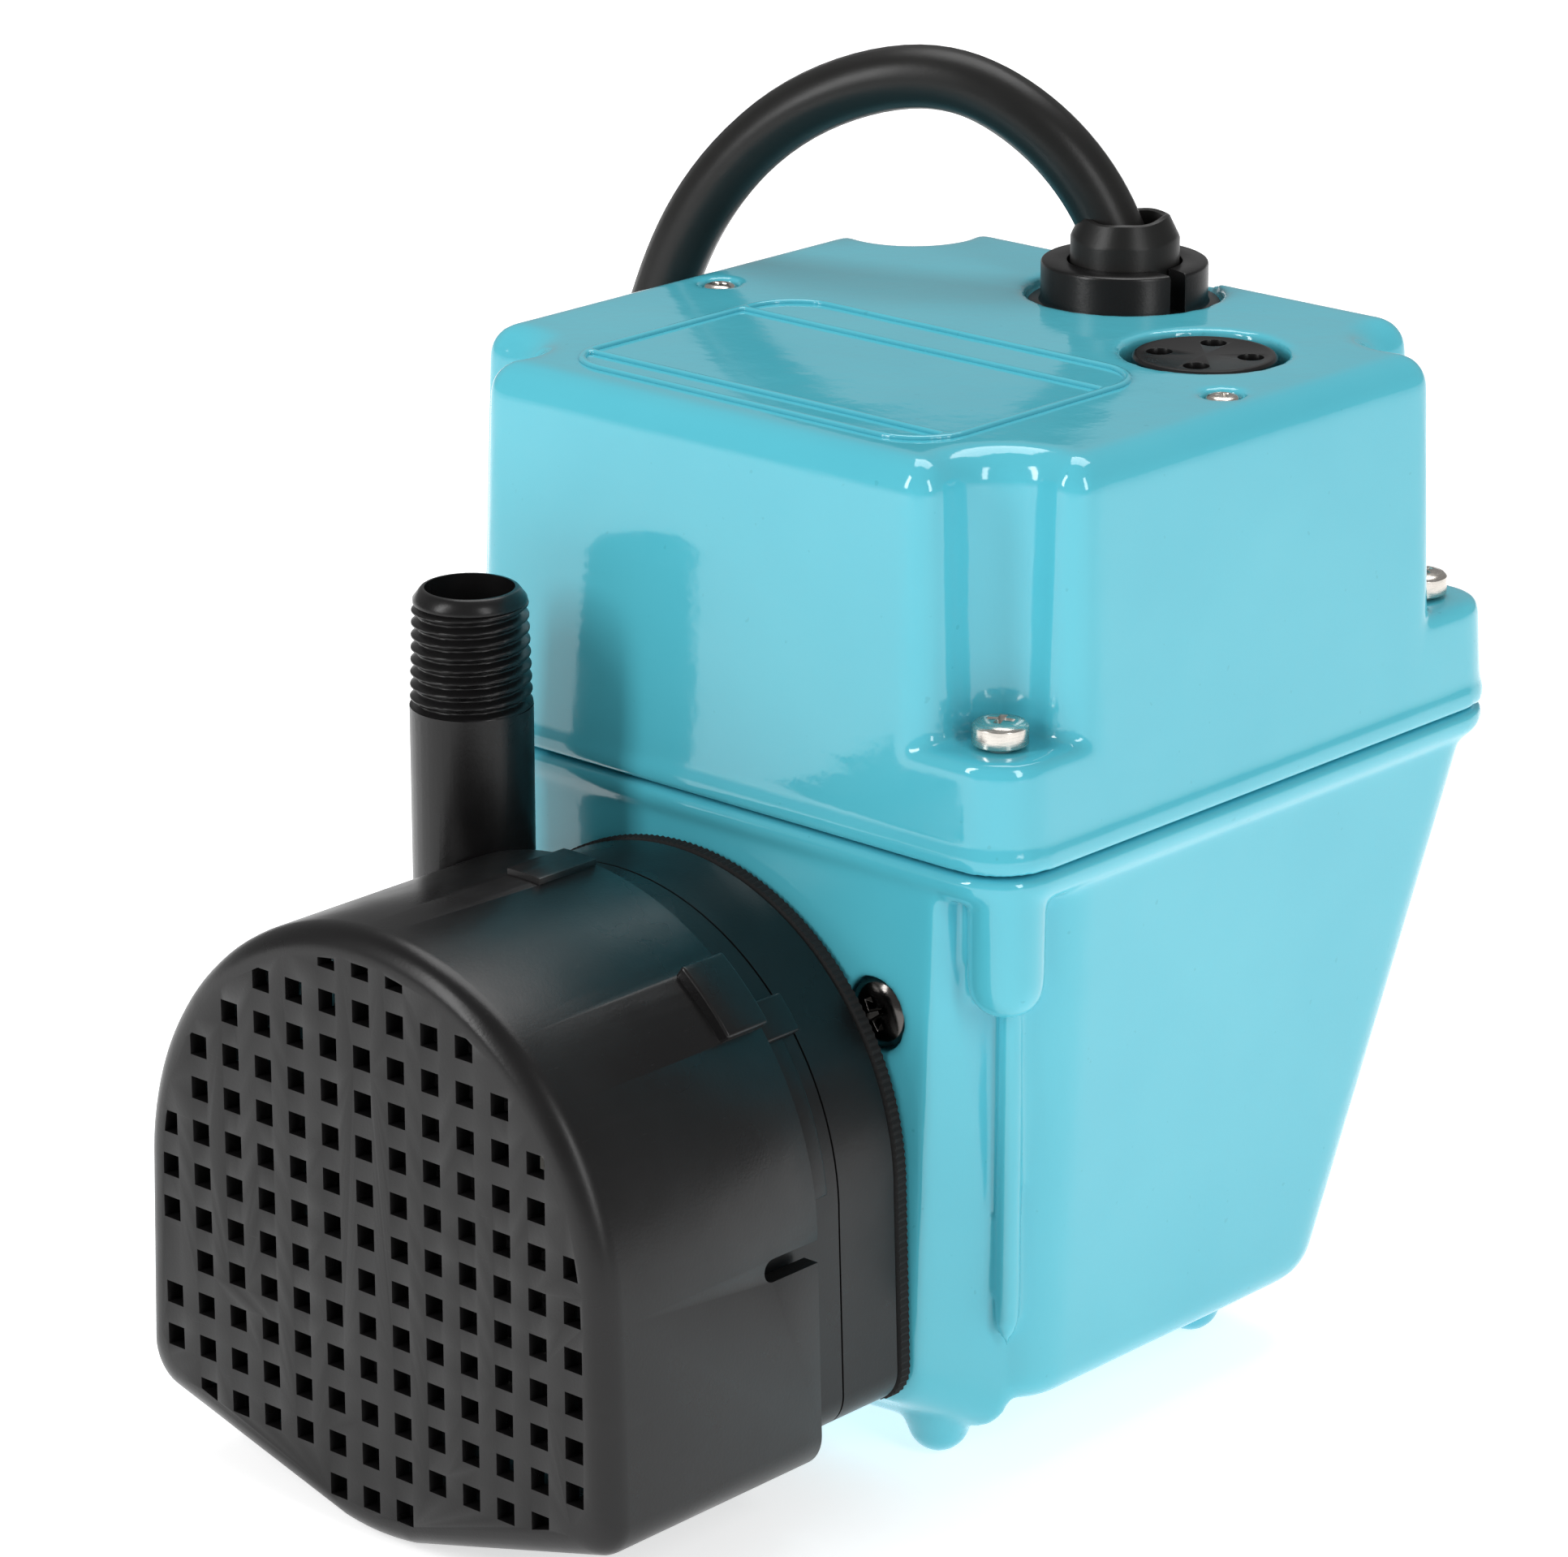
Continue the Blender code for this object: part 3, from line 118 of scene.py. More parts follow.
VENT_CIRCLE = 5.2
VENT_START = 27.6
BORDER_CENTRE = (0.3, 77.2)
BORDER_BARS = (62.6, 88.4)

CAMERA_PLACE = (0.43273, -0.48187, 0.28785)  # metres
CAMERA_TILT = 71.3754
CAMERA_TURN = 42.1395
CAMERA_LENS = 139.78


# ---------------------------------------------------------------- camera, floor and light
def place(x, depth, z):
    """World position of a point given in the pump's millimetres."""
    return Vector((x * MM, (depth + FACE) * MM, z * MM))


def make_camera():
    """The view that the render is taken from."""
    data = bpy.data.cameras.new("camera")
    camera = bpy.data.objects.new("camera", data)
    bpy.context.scene.collection.objects.link(camera)
    camera.location = CAMERA_PLACE
    camera.rotation_euler = (math.radians(CAMERA_TILT), 0.0, math.radians(CAMERA_TURN))
    data.lens = CAMERA_LENS
    data.sensor_width = 36.0
    bpy.context.scene.camera = camera


def soft_light(name, position, target, size, power, size_y=None, colour=(1.0, 1.0, 1.0)):
    """An area light at a position, aimed at a target, both in metres."""
    data = bpy.data.lights.new(name, "AREA")
    data.energy = power
    data.color = colour
    data.size = size
    if size_y:
        data.shape = "RECTANGLE"
        data.size_y = size_y
    light = bpy.data.objects.new(name, data)
    bpy.context.scene.collection.objects.link(light)
    light.location = position
    light.rotation_euler = (Vector(target) - Vector(position)).to_track_quat("-Z", "Y").to_euler()


def make_studio():
    """A white floor, a pale world and three soft lights."""
    bpy.ops.mesh.primitive_plane_add(size=12.0, location=(0.0, 0.0, 0.0))
    floor = bpy.context.object
    floor.name = "floor"
    material = bpy.data.materials.new("pale_floor")
    material.use_nodes = True
    shader = material.node_tree.nodes["Principled BSDF"]
    shader.inputs["Base Color"].default_value = (0.93, 0.93, 0.93, 1.0)
    shader.inputs["Roughness"].default_value = 0.9
    shader.inputs["Emission Color"].default_value = (1.0, 1.0, 1.0, 1.0)
    shader.inputs["Emission Strength"].default_value = 0.62
    floor.data.materials.append(material)
    world = bpy.data.worlds.new("studio")
    world.use_nodes = True
    world.node_tree.nodes["Background"].inputs["Color"].default_value = (1.0, 1.0, 1.0, 1.0)
    world.node_tree.nodes["Background"].inputs["Strength"].default_value = 0.30
    bpy.context.scene.world = world
    bpy.context.scene.view_settings.view_transform = "Standard"
    soft_light("key", (-0.35, -0.95, 0.62), (0.0, 0.0, 0.06), size=0.22, power=6.0, size_y=0.75)
    soft_light("fill", (1.05, -0.25, 0.60), (0.0, 0.0, 0.06), size=0.22, power=4.0, size_y=0.75)
    soft_light("top", (-0.15, 0.35, 1.05), (0.0, 0.02, 0.1), size=0.8, power=6.0, size_y=0.6)


# ---------------------------------------------------------------- materials
def new_material(name, colour, roughness, metallic=0.0):
    """A plain material, its node tree and its shader."""
    material = bpy.data.materials.new(name)
    material.use_nodes = True
    shader = material.node_tree.nodes["Principled BSDF"]
    shader.inputs["Base Color"].default_value = (*colour, 1.0)
    shader.inputs["Roughness"].default_value = roughness
    shader.inputs["Metallic"].default_value = metallic
    return material, material.node_tree, shader


def noise(tree, scale, detail=3.0, stretch=None, roughness=0.5):
    """A noise texture on object coordinates, in metres; stretch squeezes it along the axes."""
    coordinates = tree.nodes.new("ShaderNodeTexCoord")
    texture = tree.nodes.new("ShaderNodeTexNoise")
    texture.inputs["Scale"].default_value = scale
    texture.inputs["Detail"].default_value = detail
    texture.inputs["Roughness"].default_value = roughness
    if stretch:
        mapping = tree.nodes.new("ShaderNodeMapping")
        mapping.inputs["Scale"].default_value = stretch
        tree.links.new(coordinates.outputs["Object"], mapping.inputs["Vector"])
        tree.links.new(mapping.outputs["Vector"], texture.inputs["Vector"])
    else:
        tree.links.new(coordinates.outputs["Object"], texture.inputs["Vector"])
    return texture.outputs["Fac"]


def remap(tree, value, low_in, high_in, low_out, high_out):
    """A value rescaled from one range to another and held at its ends."""
    node = tree.nodes.new("ShaderNodeMapRange")
    node.inputs["From Min"].default_value = low_in
    node.inputs["From Max"].default_value = high_in
    node.inputs["To Min"].default_value = low_out
    node.inputs["To Max"].default_value = high_out
    tree.links.new(value, node.inputs["Value"])
    return node.outputs["Result"]


def blend_colours(tree, factor, first, second):
    """A mix of two colours, each a tuple or a socket."""
    node = tree.nodes.new("ShaderNodeMix")
    node.data_type = "RGBA"
    tree.links.new(factor, node.inputs["Factor"])
    for socket, colour in zip((node.inputs[6], node.inputs[7]), (first, second)):
        if isinstance(colour, tuple):
            socket.default_value = (*colour, 1.0)
        else:
            tree.links.new(colour, socket)
    return node.outputs[2]


def add_bump(tree, shader, height, strength, distance, under=None):
    """Bump from a height socket, on top of an earlier bump when one is given."""
    bump = tree.nodes.new("ShaderNodeBump")
    bump.inputs["Strength"].default_value = strength
    bump.inputs["Distance"].default_value = distance
    tree.links.new(height, bump.inputs["Height"])
    if under:
        tree.links.new(under, bump.inputs["Normal"])
    tree.links.new(bump.outputs["Normal"], shader.inputs["Normal"])
    return bump.outputs["Normal"]


def coating_material():
    """Thick glossy turquoise epoxy: orange peel, slow waves, faint mottling and a few pin holes."""
    material, tree, shader = new_material("turquoise_coating", (0.09, 0.50, 0.61), 0.12)
    mottle = remap(tree, noise(tree, 38.0, 2.0), 0.3, 0.7, 0.0, 1.0)
    colour = blend_colours(tree, mottle, (0.083, 0.485, 0.60), (0.098, 0.515, 0.625))
    specks = remap(tree, noise(tree, 900.0, 1.0), 0.76, 0.80, 0.0, 0.35)
    colour = blend_colours(tree, specks, colour, (0.05, 0.34, 0.42))
    tree.links.new(colour, shader.inputs["Base Color"])
    gloss = remap(tree, noise(tree, 90.0, 3.0), 0.3, 0.7, 0.06, 0.13)
    tree.links.new(gloss, shader.inputs["Roughness"])
    waves = add_bump(tree, shader, noise(tree, 110.0, 1.0), 0.35, 0.00035)
    add_bump(tree, shader, noise(tree, 620.0, 2.0), 0.22, 0.00012, waves)
    shader.inputs["Coat Weight"].default_value = 0.35
    shader.inputs["Coat Roughness"].default_value = 0.06
    return material


def black_plastic_material(name, colour, low, high, scratch=0.5):
    """Moulded black plastic with a fine grain, scuffs and thin scratches."""
    material, tree, shader = new_material(name, colour, (low + high) / 2.0)
    shader.inputs["Specular IOR Level"].default_value = 0.32
    scuffs = remap(tree, noise(tree, 55.0, 6.0, (1.0, 0.35, 2.2), 0.62), 0.56, 0.72, 0.0, 1.0)
    lighter = tuple(channel * 2.2 + 0.006 for channel in colour)
    fine = remap(tree, noise(tree, 420.0, 5.0, (0.25, 1.0, 6.0), 0.7), 0.66, 0.70, 0.0, scratch)
    base = blend_colours(tree, scuffs, colour, tuple(channel * 1.35 for channel in colour))
    tree.links.new(blend_colours(tree, fine, base, lighter), shader.inputs["Base Color"])
    tree.links.new(remap(tree, noise(tree, 70.0, 4.0), 0.3, 0.7, low, high), shader.inputs["Roughness"])
    grain = add_bump(tree, shader, noise(tree, 2600.0, 2.0), 0.16, 0.00006)
    add_bump(tree, shader, noise(tree, 130.0, 2.0), 0.18, 0.00025, grain)
    return material


def steel_material(name, colour, low, high, stretch=(1.0, 1.0, 14.0)):
    """Bare metal with fine drawn lines and darker stains."""
    material, tree, shader = new_material(name, colour, low, 1.0)
    lines = noise(tree, 700.0, 3.0, stretch)
    tree.links.new(remap(tree, lines, 0.3, 0.7, low, high), shader.inputs["Roughness"])
    darker = tuple(channel * 0.72 for channel in colour)
    stains = remap(tree, noise(tree, 260.0, 3.0), 0.45, 0.75, 0.0, 1.0)
    tree.links.new(blend_colours(tree, stains, colour, darker), shader.inputs["Base Color"])
    add_bump(tree, shader, lines, 0.12, 0.00005)
    return material


def plain_material(name, colour, roughness, metallic=0.0, scale=300.0):
    """For pieces inside the casting: mottled colour and uneven gloss."""
    material, tree, shader = new_material(name, colour, roughness, metallic)
    cloud = remap(tree, noise(tree, scale, 3.0), 0.3, 0.7, 0.0, 1.0)
    darker = tuple(channel * 0.8 for channel in colour)
    tree.links.new(blend_colours(tree, cloud, colour, darker), shader.inputs["Base Color"])
    gloss = remap(tree, cloud, 0.0, 1.0, roughness * 0.8, min(roughness * 1.25, 1.0))
    tree.links.new(gloss, shader.inputs["Roughness"])
    add_bump(tree, shader, noise(tree, scale * 5.0, 2.0), 0.15, 0.0001)
    return material


def lamination_material():
    """Stacked steel sheets, seen as bands along the shaft."""
    material, tree, shader = new_material("laminations", (0.26, 0.26, 0.28), 0.45, 0.9)
    coordinates = tree.nodes.new("ShaderNodeTexCoord")
    wave = tree.nodes.new("ShaderNodeTexWave")
    wave.bands_direction = "Y"
    wave.inputs["Scale"].default_value = 320.0
    tree.links.new(coordinates.outputs["Object"], wave.inputs["Vector"])
    tree.links.new(blend_colours(tree, wave.outputs["Fac"], (0.20, 0.20, 0.22), (0.36, 0.35, 0.36)),
                   shader.inputs["Base Color"])
    add_bump(tree, shader, wave.outputs["Fac"], 0.3, 0.0001)
    return material


def winding_material():
    """Enamelled copper wire, seen as uneven bands."""
    material, tree, shader = new_material("winding", (0.50, 0.17, 0.06), 0.3, 0.8)
    coordinates = tree.nodes.new("ShaderNodeTexCoord")
    wave = tree.nodes.new("ShaderNodeTexWave")
    wave.bands_direction = "X"
    wave.inputs["Scale"].default_value = 280.0
    wave.inputs["Distortion"].default_value = 0.6
    tree.links.new(coordinates.outputs["Object"], wave.inputs["Vector"])
    tree.links.new(blend_colours(tree, wave.outputs["Fac"], (0.22, 0.06, 0.02), (0.58, 0.22, 0.08)),
                   shader.inputs["Base Color"])
    add_bump(tree, shader, wave.outputs["Fac"], 0.6, 0.0002)
    return material


# ---------------------------------------------------------------- mesh helpers
def add_piece(name, mesh, material, body, replaces=()):
    """Link a finished mesh as a shown piece that rides on a body."""
    piece = bpy.data.objects.new(name, mesh)
    bpy.context.scene.collection.objects.link(piece)
    piece.data.materials.clear()
    piece.data.materials.append(material)
    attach(piece, body)
    if replaces:
        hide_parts(*replaces)
    return piece


def clean(mesh, weld=0.000001, sharp=40.0):
    """Weld the mesh, close small gaps, turn its faces outwards and mark its sharp edges."""
    work = bmesh.new()
    work.from_mesh(mesh)
    bmesh.ops.remove_doubles(work, verts=work.verts, dist=weld)
    bmesh.ops.dissolve_degenerate(work, edges=work.edges, dist=0.0000005)
    rims = [edge for edge in work.edges if len(edge.link_faces) == 1]
    bmesh.ops.holes_fill(work, edges=rims, sides=4)
    bmesh.ops.recalc_face_normals(work, faces=work.faces)
    work.to_mesh(mesh)
    work.free()
    mesh.shade_smooth()
    mesh.set_sharp_from_angle(angle=math.radians(sharp))
    return mesh


def loose(mesh, name="tool"):
    """An object for a mesh that is only a step towards a piece."""
    thing = bpy.data.objects.new(name, mesh)
    bpy.context.scene.collection.objects.link(thing)
    return thing


def baked(thing):
    """A new mesh of an object with its modifiers applied."""
    graph = bpy.context.evaluated_depsgraph_get()
    return bpy.data.meshes.new_from_object(thing.evaluated_get(graph))


def loft(rings):
    """A closed skin through rings of equally many points in pump millimetres."""
    work = bmesh.new()
    loops = [[work.verts.new(place(*point)) for point in ring] for ring in rings]
    count = len(loops[0])
    for lower, upper in zip(loops, loops[1:]):
        for index in range(count):
            following = (index + 1) % count
            work.faces.new((lower[index], lower[following], upper[following], upper[index]))
    work.faces.new(loops[0])
    work.faces.new(loops[-1])
    mesh = bpy.data.meshes.new("loft")
    work.to_mesh(mesh)
    work.free()
    return clean(mesh)


def flat(outlines, start, end, along):
    """A plate from closed outlines, inner ones being holes: see the axis names in turned()."""
    curve = bpy.data.curves.new("outline", "CURVE")
    curve.dimensions = "2D"
    curve.fill_mode = "BOTH"
    curve.extrude = abs(end - start) / 2.0 * MM
    for outline in outlines:
        spline = curve.splines.new("POLY")
        spline.points.add(len(outline) - 1)
        for point, (u, v) in zip(spline.points, outline):
            point.co = (u * MM, v * MM, 0.0, 1.0)
        spline.use_cyclic_u = True
    guide = loose(curve, "outline")
    mesh = baked(guide)
    bpy.data.objects.remove(guide, do_unlink=True)
    middle = (start + end) / 2.0
    if along == "back":
        turn = Matrix.Rotation(math.radians(90.0), 4, "X")
        shift = Matrix.Translation(place(0.0, middle, 0.0))
    elif along == "up":
        turn = Matrix.Identity(4)
        shift = Matrix.Translation(place(0.0, 0.0, middle))
    else:
        turn = Matrix.Rotation(math.radians(120.0), 4, Vector((1.0, 1.0, 1.0)))
        shift = Matrix.Translation(place(middle, 0.0, 0.0))
    mesh.transform(shift @ turn)
    return clean(mesh)


def turned(profile, centre, axis="up", segments=64, closed=False):
    """A turned solid from (radius, height) points; heights run up, towards the back or to the side."""
    mesh = bpy.data.meshes.new("profile")
    points = [(radius * MM, 0.0, height * MM) for radius, height in profile]
    edges = [(index, index + 1) for index in range(len(points) - 1)]
    if closed:
        edges.append((len(points) - 1, 0))
    mesh.from_pydata(points, edges, [])
    guide = loose(mesh, "profile")
    screw = guide.modifiers.new("turn", "SCREW")
    screw.steps = segments
    screw.render_steps = segments
    screw.use_merge_vertices = True
    screw.merge_threshold = 0.00001
    solid = baked(guide)
    bpy.data.objects.remove(guide, do_unlink=True)
    turn = Matrix.Identity(4)
    if axis == "back":
        turn = Matrix.Rotation(math.radians(-90.0), 4, "X")
    elif axis == "side":
        turn = Matrix.Rotation(math.radians(90.0), 4, "Y")
    solid.transform(Matrix.Translation(place(*centre)) @ turn)
    return clean(solid)


def rod(radius, start, end, centre, axis="up", segments=48):
    """A cylinder between two levels on its axis."""
    return turned([(0.0, end), (radius, end), (radius, start), (0.0, start)], centre, axis, segments)


def block(low, high):
    """A box between two corners in pump millimetres."""
    work = bmesh.new()
    bmesh.ops.create_cube(work, size=1.0)
    size = [(b - a) * MM for a, b in zip(low, high)]
    middle = place(*[(a + b) / 2.0 for a, b in zip(low, high)])
    matrix = Matrix.Translation(middle) @ Matrix.Diagonal((*size, 1.0))
    bmesh.ops.transform(work, matrix=matrix, verts=work.verts)
    mesh = bpy.data.meshes.new("block")
    work.to_mesh(mesh)
    work.free()
    return mesh


def combine(base, tools, operation="DIFFERENCE"):
    """The base mesh with each tool mesh taken away, added or intersected."""
    body = loose(base)
    helpers = [loose(tool) for tool in tools]
    for helper in helpers:
        modifier = body.modifiers.new("step", "BOOLEAN")
        modifier.operation = operation
        modifier.object = helper
        modifier.solver = "EXACT"
    mesh = baked(body)
    for thing in [body, *helpers]:
        bpy.data.objects.remove(thing, do_unlink=True)
    return clean(mesh, 0.00002)


def melt(mesh, voxel, rounds, strength=0.5):
    """Remesh a solid evenly and relax it, so that every edge and inner corner gets a soft radius."""
    thing = loose(mesh)
    remesh = thing.modifiers.new("even", "REMESH")
    remesh.mode = "VOXEL"
    remesh.voxel_size = voxel * MM
    relax = thing.modifiers.new("relax", "SMOOTH")
    relax.factor = strength
    relax.iterations = rounds
    soft = baked(thing)
    bpy.data.objects.remove(thing, do_unlink=True)
    soft.shade_smooth()
    return soft


def bevelled(mesh, width, segments=3, angle=35.0):
    """The mesh with its sharper edges rounded off to a width."""
    thing = loose(mesh)
    bevel = thing.modifiers.new("edges", "BEVEL")
    bevel.width = width * MM
    bevel.segments = segments
    bevel.limit_method = "ANGLE"
    bevel.angle_limit = math.radians(angle)
    bevel.use_clamp_overlap = True
    soft = baked(thing)
    bpy.data.objects.remove(thing, do_unlink=True)
    soft.shade_smooth()
    soft.set_sharp_from_angle(angle=math.radians(50.0))
    return soft


# ---------------------------------------------------------------- outlines
def arc(x, y, radius, start, end, steps):
    """Points along a circular arc, with angles in degrees."""
    points = []
    for index in range(steps + 1):
        angle = math.radians(start + (end - start) * index / steps)
        points.append((x + radius * math.cos(angle), y + radius * math.sin(angle)))
    return points


def rounded_rectangle(half_width, half_height, radius, steps=12, centre=(0.0, 0.0)):
    """A closed outline with four equal corner arcs."""
    x, y = centre
    across = half_width - radius
    up = half_height - radius
    points = arc(x + across, y + up, radius, 0.0, 90.0, steps)
    points += arc(x - across, y + up, radius, 90.0, 180.0, steps)
    points += arc(x - across, y - up, radius, 180.0, 270.0, steps)
    points += arc(x + across, y - up, radius, 270.0, 360.0, steps)
    return points


def casting_outline(inset):
    """The castings' flange outline, moved in by inset."""
    half_width = CASTING_WIDTH / 2.0 - inset
    half_depth = CASTING_DEPTH / 2.0 - inset
    return rounded_rectangle(half_width, half_depth, FLANGE_CORNER - inset, 12, (0.0, CASTING_MIDDLE))


def scalloped_outline(inset):
    """The cover's walls, moved in by inset: a round pocket about each screw, a rounded lip beside it."""
    half_x = CASTING_WIDTH / 2.0
    half_y = CASTING_DEPTH / 2.0
    screw_x = half_x - SCREW_INSET
    screw_y = half_y - SCREW_INSET
    inset = min(inset, LIP_INSET - 0.12)
    lip = LIP_INSET - inset
    rise = SCREW_INSET - LIP_INSET
    across = math.sqrt((POCKET_RADIUS + LIP_INSET) ** 2 - rise ** 2)
    turn = math.degrees(math.atan2(rise, across))
    quarter = arc(half_x - LIP_INSET, screw_y - across, lip, 0.0, 90.0 + turn, 10)
    quarter += arc(screw_x, screw_y, POCKET_RADIUS + inset, 270.0 + turn, 180.0 - turn, 18)[1:]
    quarter += arc(screw_x - across, half_y - LIP_INSET, lip, -turn, 90.0, 10)[1:]
    outline = list(quarter)
    outline += [(-x, y) for x, y in reversed(quarter)]
    outline += [(-x, -y) for x, y in quarter]
    outline += [(x, -y) for x, y in reversed(quarter)]
    return [(x, y + CASTING_MIDDLE) for x, y in outline]


def head_outline(radius, low_side, apex, arch_steps=64):
    """The pump head's outline in (x, z): arch on top, straight sides, shallow V below."""
    flare = 0.7
    corner = 4.5
    side = radius + flare
    slope = math.degrees(math.atan2(low_side - apex, side))
    points = arc(0.0, SHAFT_HEIGHT, radius, 0.0, 180.0, arch_steps)
    points += arc(-side + corner, low_side + corner, corner, 180.0, 270.0 - slope, 10)
    points += arc(0.0, apex + 30.0, 30.0, 270.0 - slope * 0.8, 270.0 + slope * 0.8, 10)
    points += arc(side - corner, low_side + corner, corner, 270.0 + slope, 360.0, 10)
    return points


def volute_outline(radius=VOLUTE_RADIUS):
    """The outline of the volute, its plate and its gasket for an arch radius."""
    drop = VOLUTE_RADIUS - radius
    return head_outline(radius, 9.6 + drop, 2.0 + drop)


def levels_up(outline, height):
    """An (x, depth) outline lifted to a height."""
    return [(x, depth, height) for x, depth in outline]


def levels_back(outline, depth):
    """An (x, z) outline moved back to a depth."""
    return [(x, depth, z) for x, z in outline]


def cover_screw_place(side, end):
    """A corner screw's x and depth, from its side and end, each -1 or 1."""
    x = side * (CASTING_WIDTH / 2.0 - SCREW_INSET)
    depth = CASTING_MIDDLE + end * (CASTING_DEPTH / 2.0 - SCREW_INSET)
    return x, depth


# ---------------------------------------------------------------- castings
def cover_inset(height):
    """How far the cover's drafted wall has moved in at a height."""
    return 0.35 + COVER_DRAFT * (height - PARTING) / (COVER_TOP - PARTING)


def make_cover(coating):
    """The motor cover: drafted walls, screw ledges, cavity and the recesses in its top."""
    rings = [levels_up(scalloped_outline(cover_inset(PARTING)), PARTING + 0.6)]
    for step in range(10):
        angle = math.radians(10.0 * step)
        height = COVER_TOP - TOP_FILLET * (1.0 - math.sin(angle))
        pull = TOP_FILLET * (1.0 - math.cos(angle))
        rings.append(levels_up(scalloped_outline(cover_inset(height) + pull), height))
    walls = loft(rings)
    lip_top = PARTING + 2.7
    ledge_inset = cover_inset(LEDGE_HEIGHT)
    plinth = loft([
        levels_up(casting_outline(-0.1), PARTING + 0.15),
        levels_up(casting_outline(-0.1), lip_top - 0.5),
        levels_up(casting_outline(0.3), lip_top),
        levels_up(casting_outline(ledge_inset + 0.02), LEDGE_HEIGHT - 1.2),
        levels_up(casting_outline(ledge_inset + 0.35), LEDGE_HEIGHT - 0.4),
        levels_up(casting_outline(ledge_inset + 1.2), LEDGE_HEIGHT),
    ])
    solid = combine(walls, [plinth], "UNION")
    hollow = loft([
        levels_up(rounded_rectangle(*CAVITY_HALF, 20.0, 12, (0.0, CASTING_MIDDLE)), PARTING - 1.0),
        levels_up(rounded_rectangle(*CAVITY_TOP_HALF, 20.0, 12, (0.0, CASTING_MIDDLE)), COVER_TOP - 6.0),
    ])
    recesses = [
        rod(GLAND_RECESS, 113.5, COVER_TOP + 1.0, (0.0, GLAND_DEPTH, 0.0), "up", 96),
        rod(CAP_RECESS, CAP_FLOOR, COVER_TOP + 1.0, (CAP_X, CAP_DEPTH, 0.0), "up", 96),
    ]
    for side in (-1, 1):
        spot = (side * TOP_SCREW_X, TOP_SCREW_DEPTH, 0.0)
        recesses.append(rod(2.3, 113.4, COVER_TOP + 1.0, spot, "up", 32))
    solid = combine(solid, [hollow, *recesses])
    soft = melt(solid, CASTING_VOXEL, CASTING_ROUNDS)
    return add_piece("cover_casting", soft, coating, "pump", ["motor_cover"])


def body_ring(height, inset=0.0):
    """The housing's outline at a height, wider towards the top."""
    share = (height - HOUSING_BOTTOM) / (PARTING - HOUSING_BOTTOM)
    half_width = 41.8 + 3.4 * share - inset
    front = BODY_FRONT + inset
    back = 114.0 + 25.0 * share - inset
    middle = (front + back) / 2.0
    outline = rounded_rectangle(half_width, (back - front) / 2.0, 8.0 - inset * 0.8, 12, (0.0, middle))
    return levels_up(outline, height)


def pad_outline(grow, spread=0.0):
    """The pad on the housing's front that the pump head stands on."""
    half_top = 36.2 + grow
    half_low = 33.6 + grow + spread
    bottom = 8.5 - grow * 1.5
    apex = 1.6 - grow * 0.25
    corner = 5.5
    points = [(half_top, 71.0), (-half_top, 71.0)]
    points += arc(-half_low + corner, bottom + corner, corner, 180.0, 255.0, 10)
    points += [(0.0, apex)]
    points += arc(half_low - corner, bottom + corner, corner, 285.0, 360.0, 10)
    return points


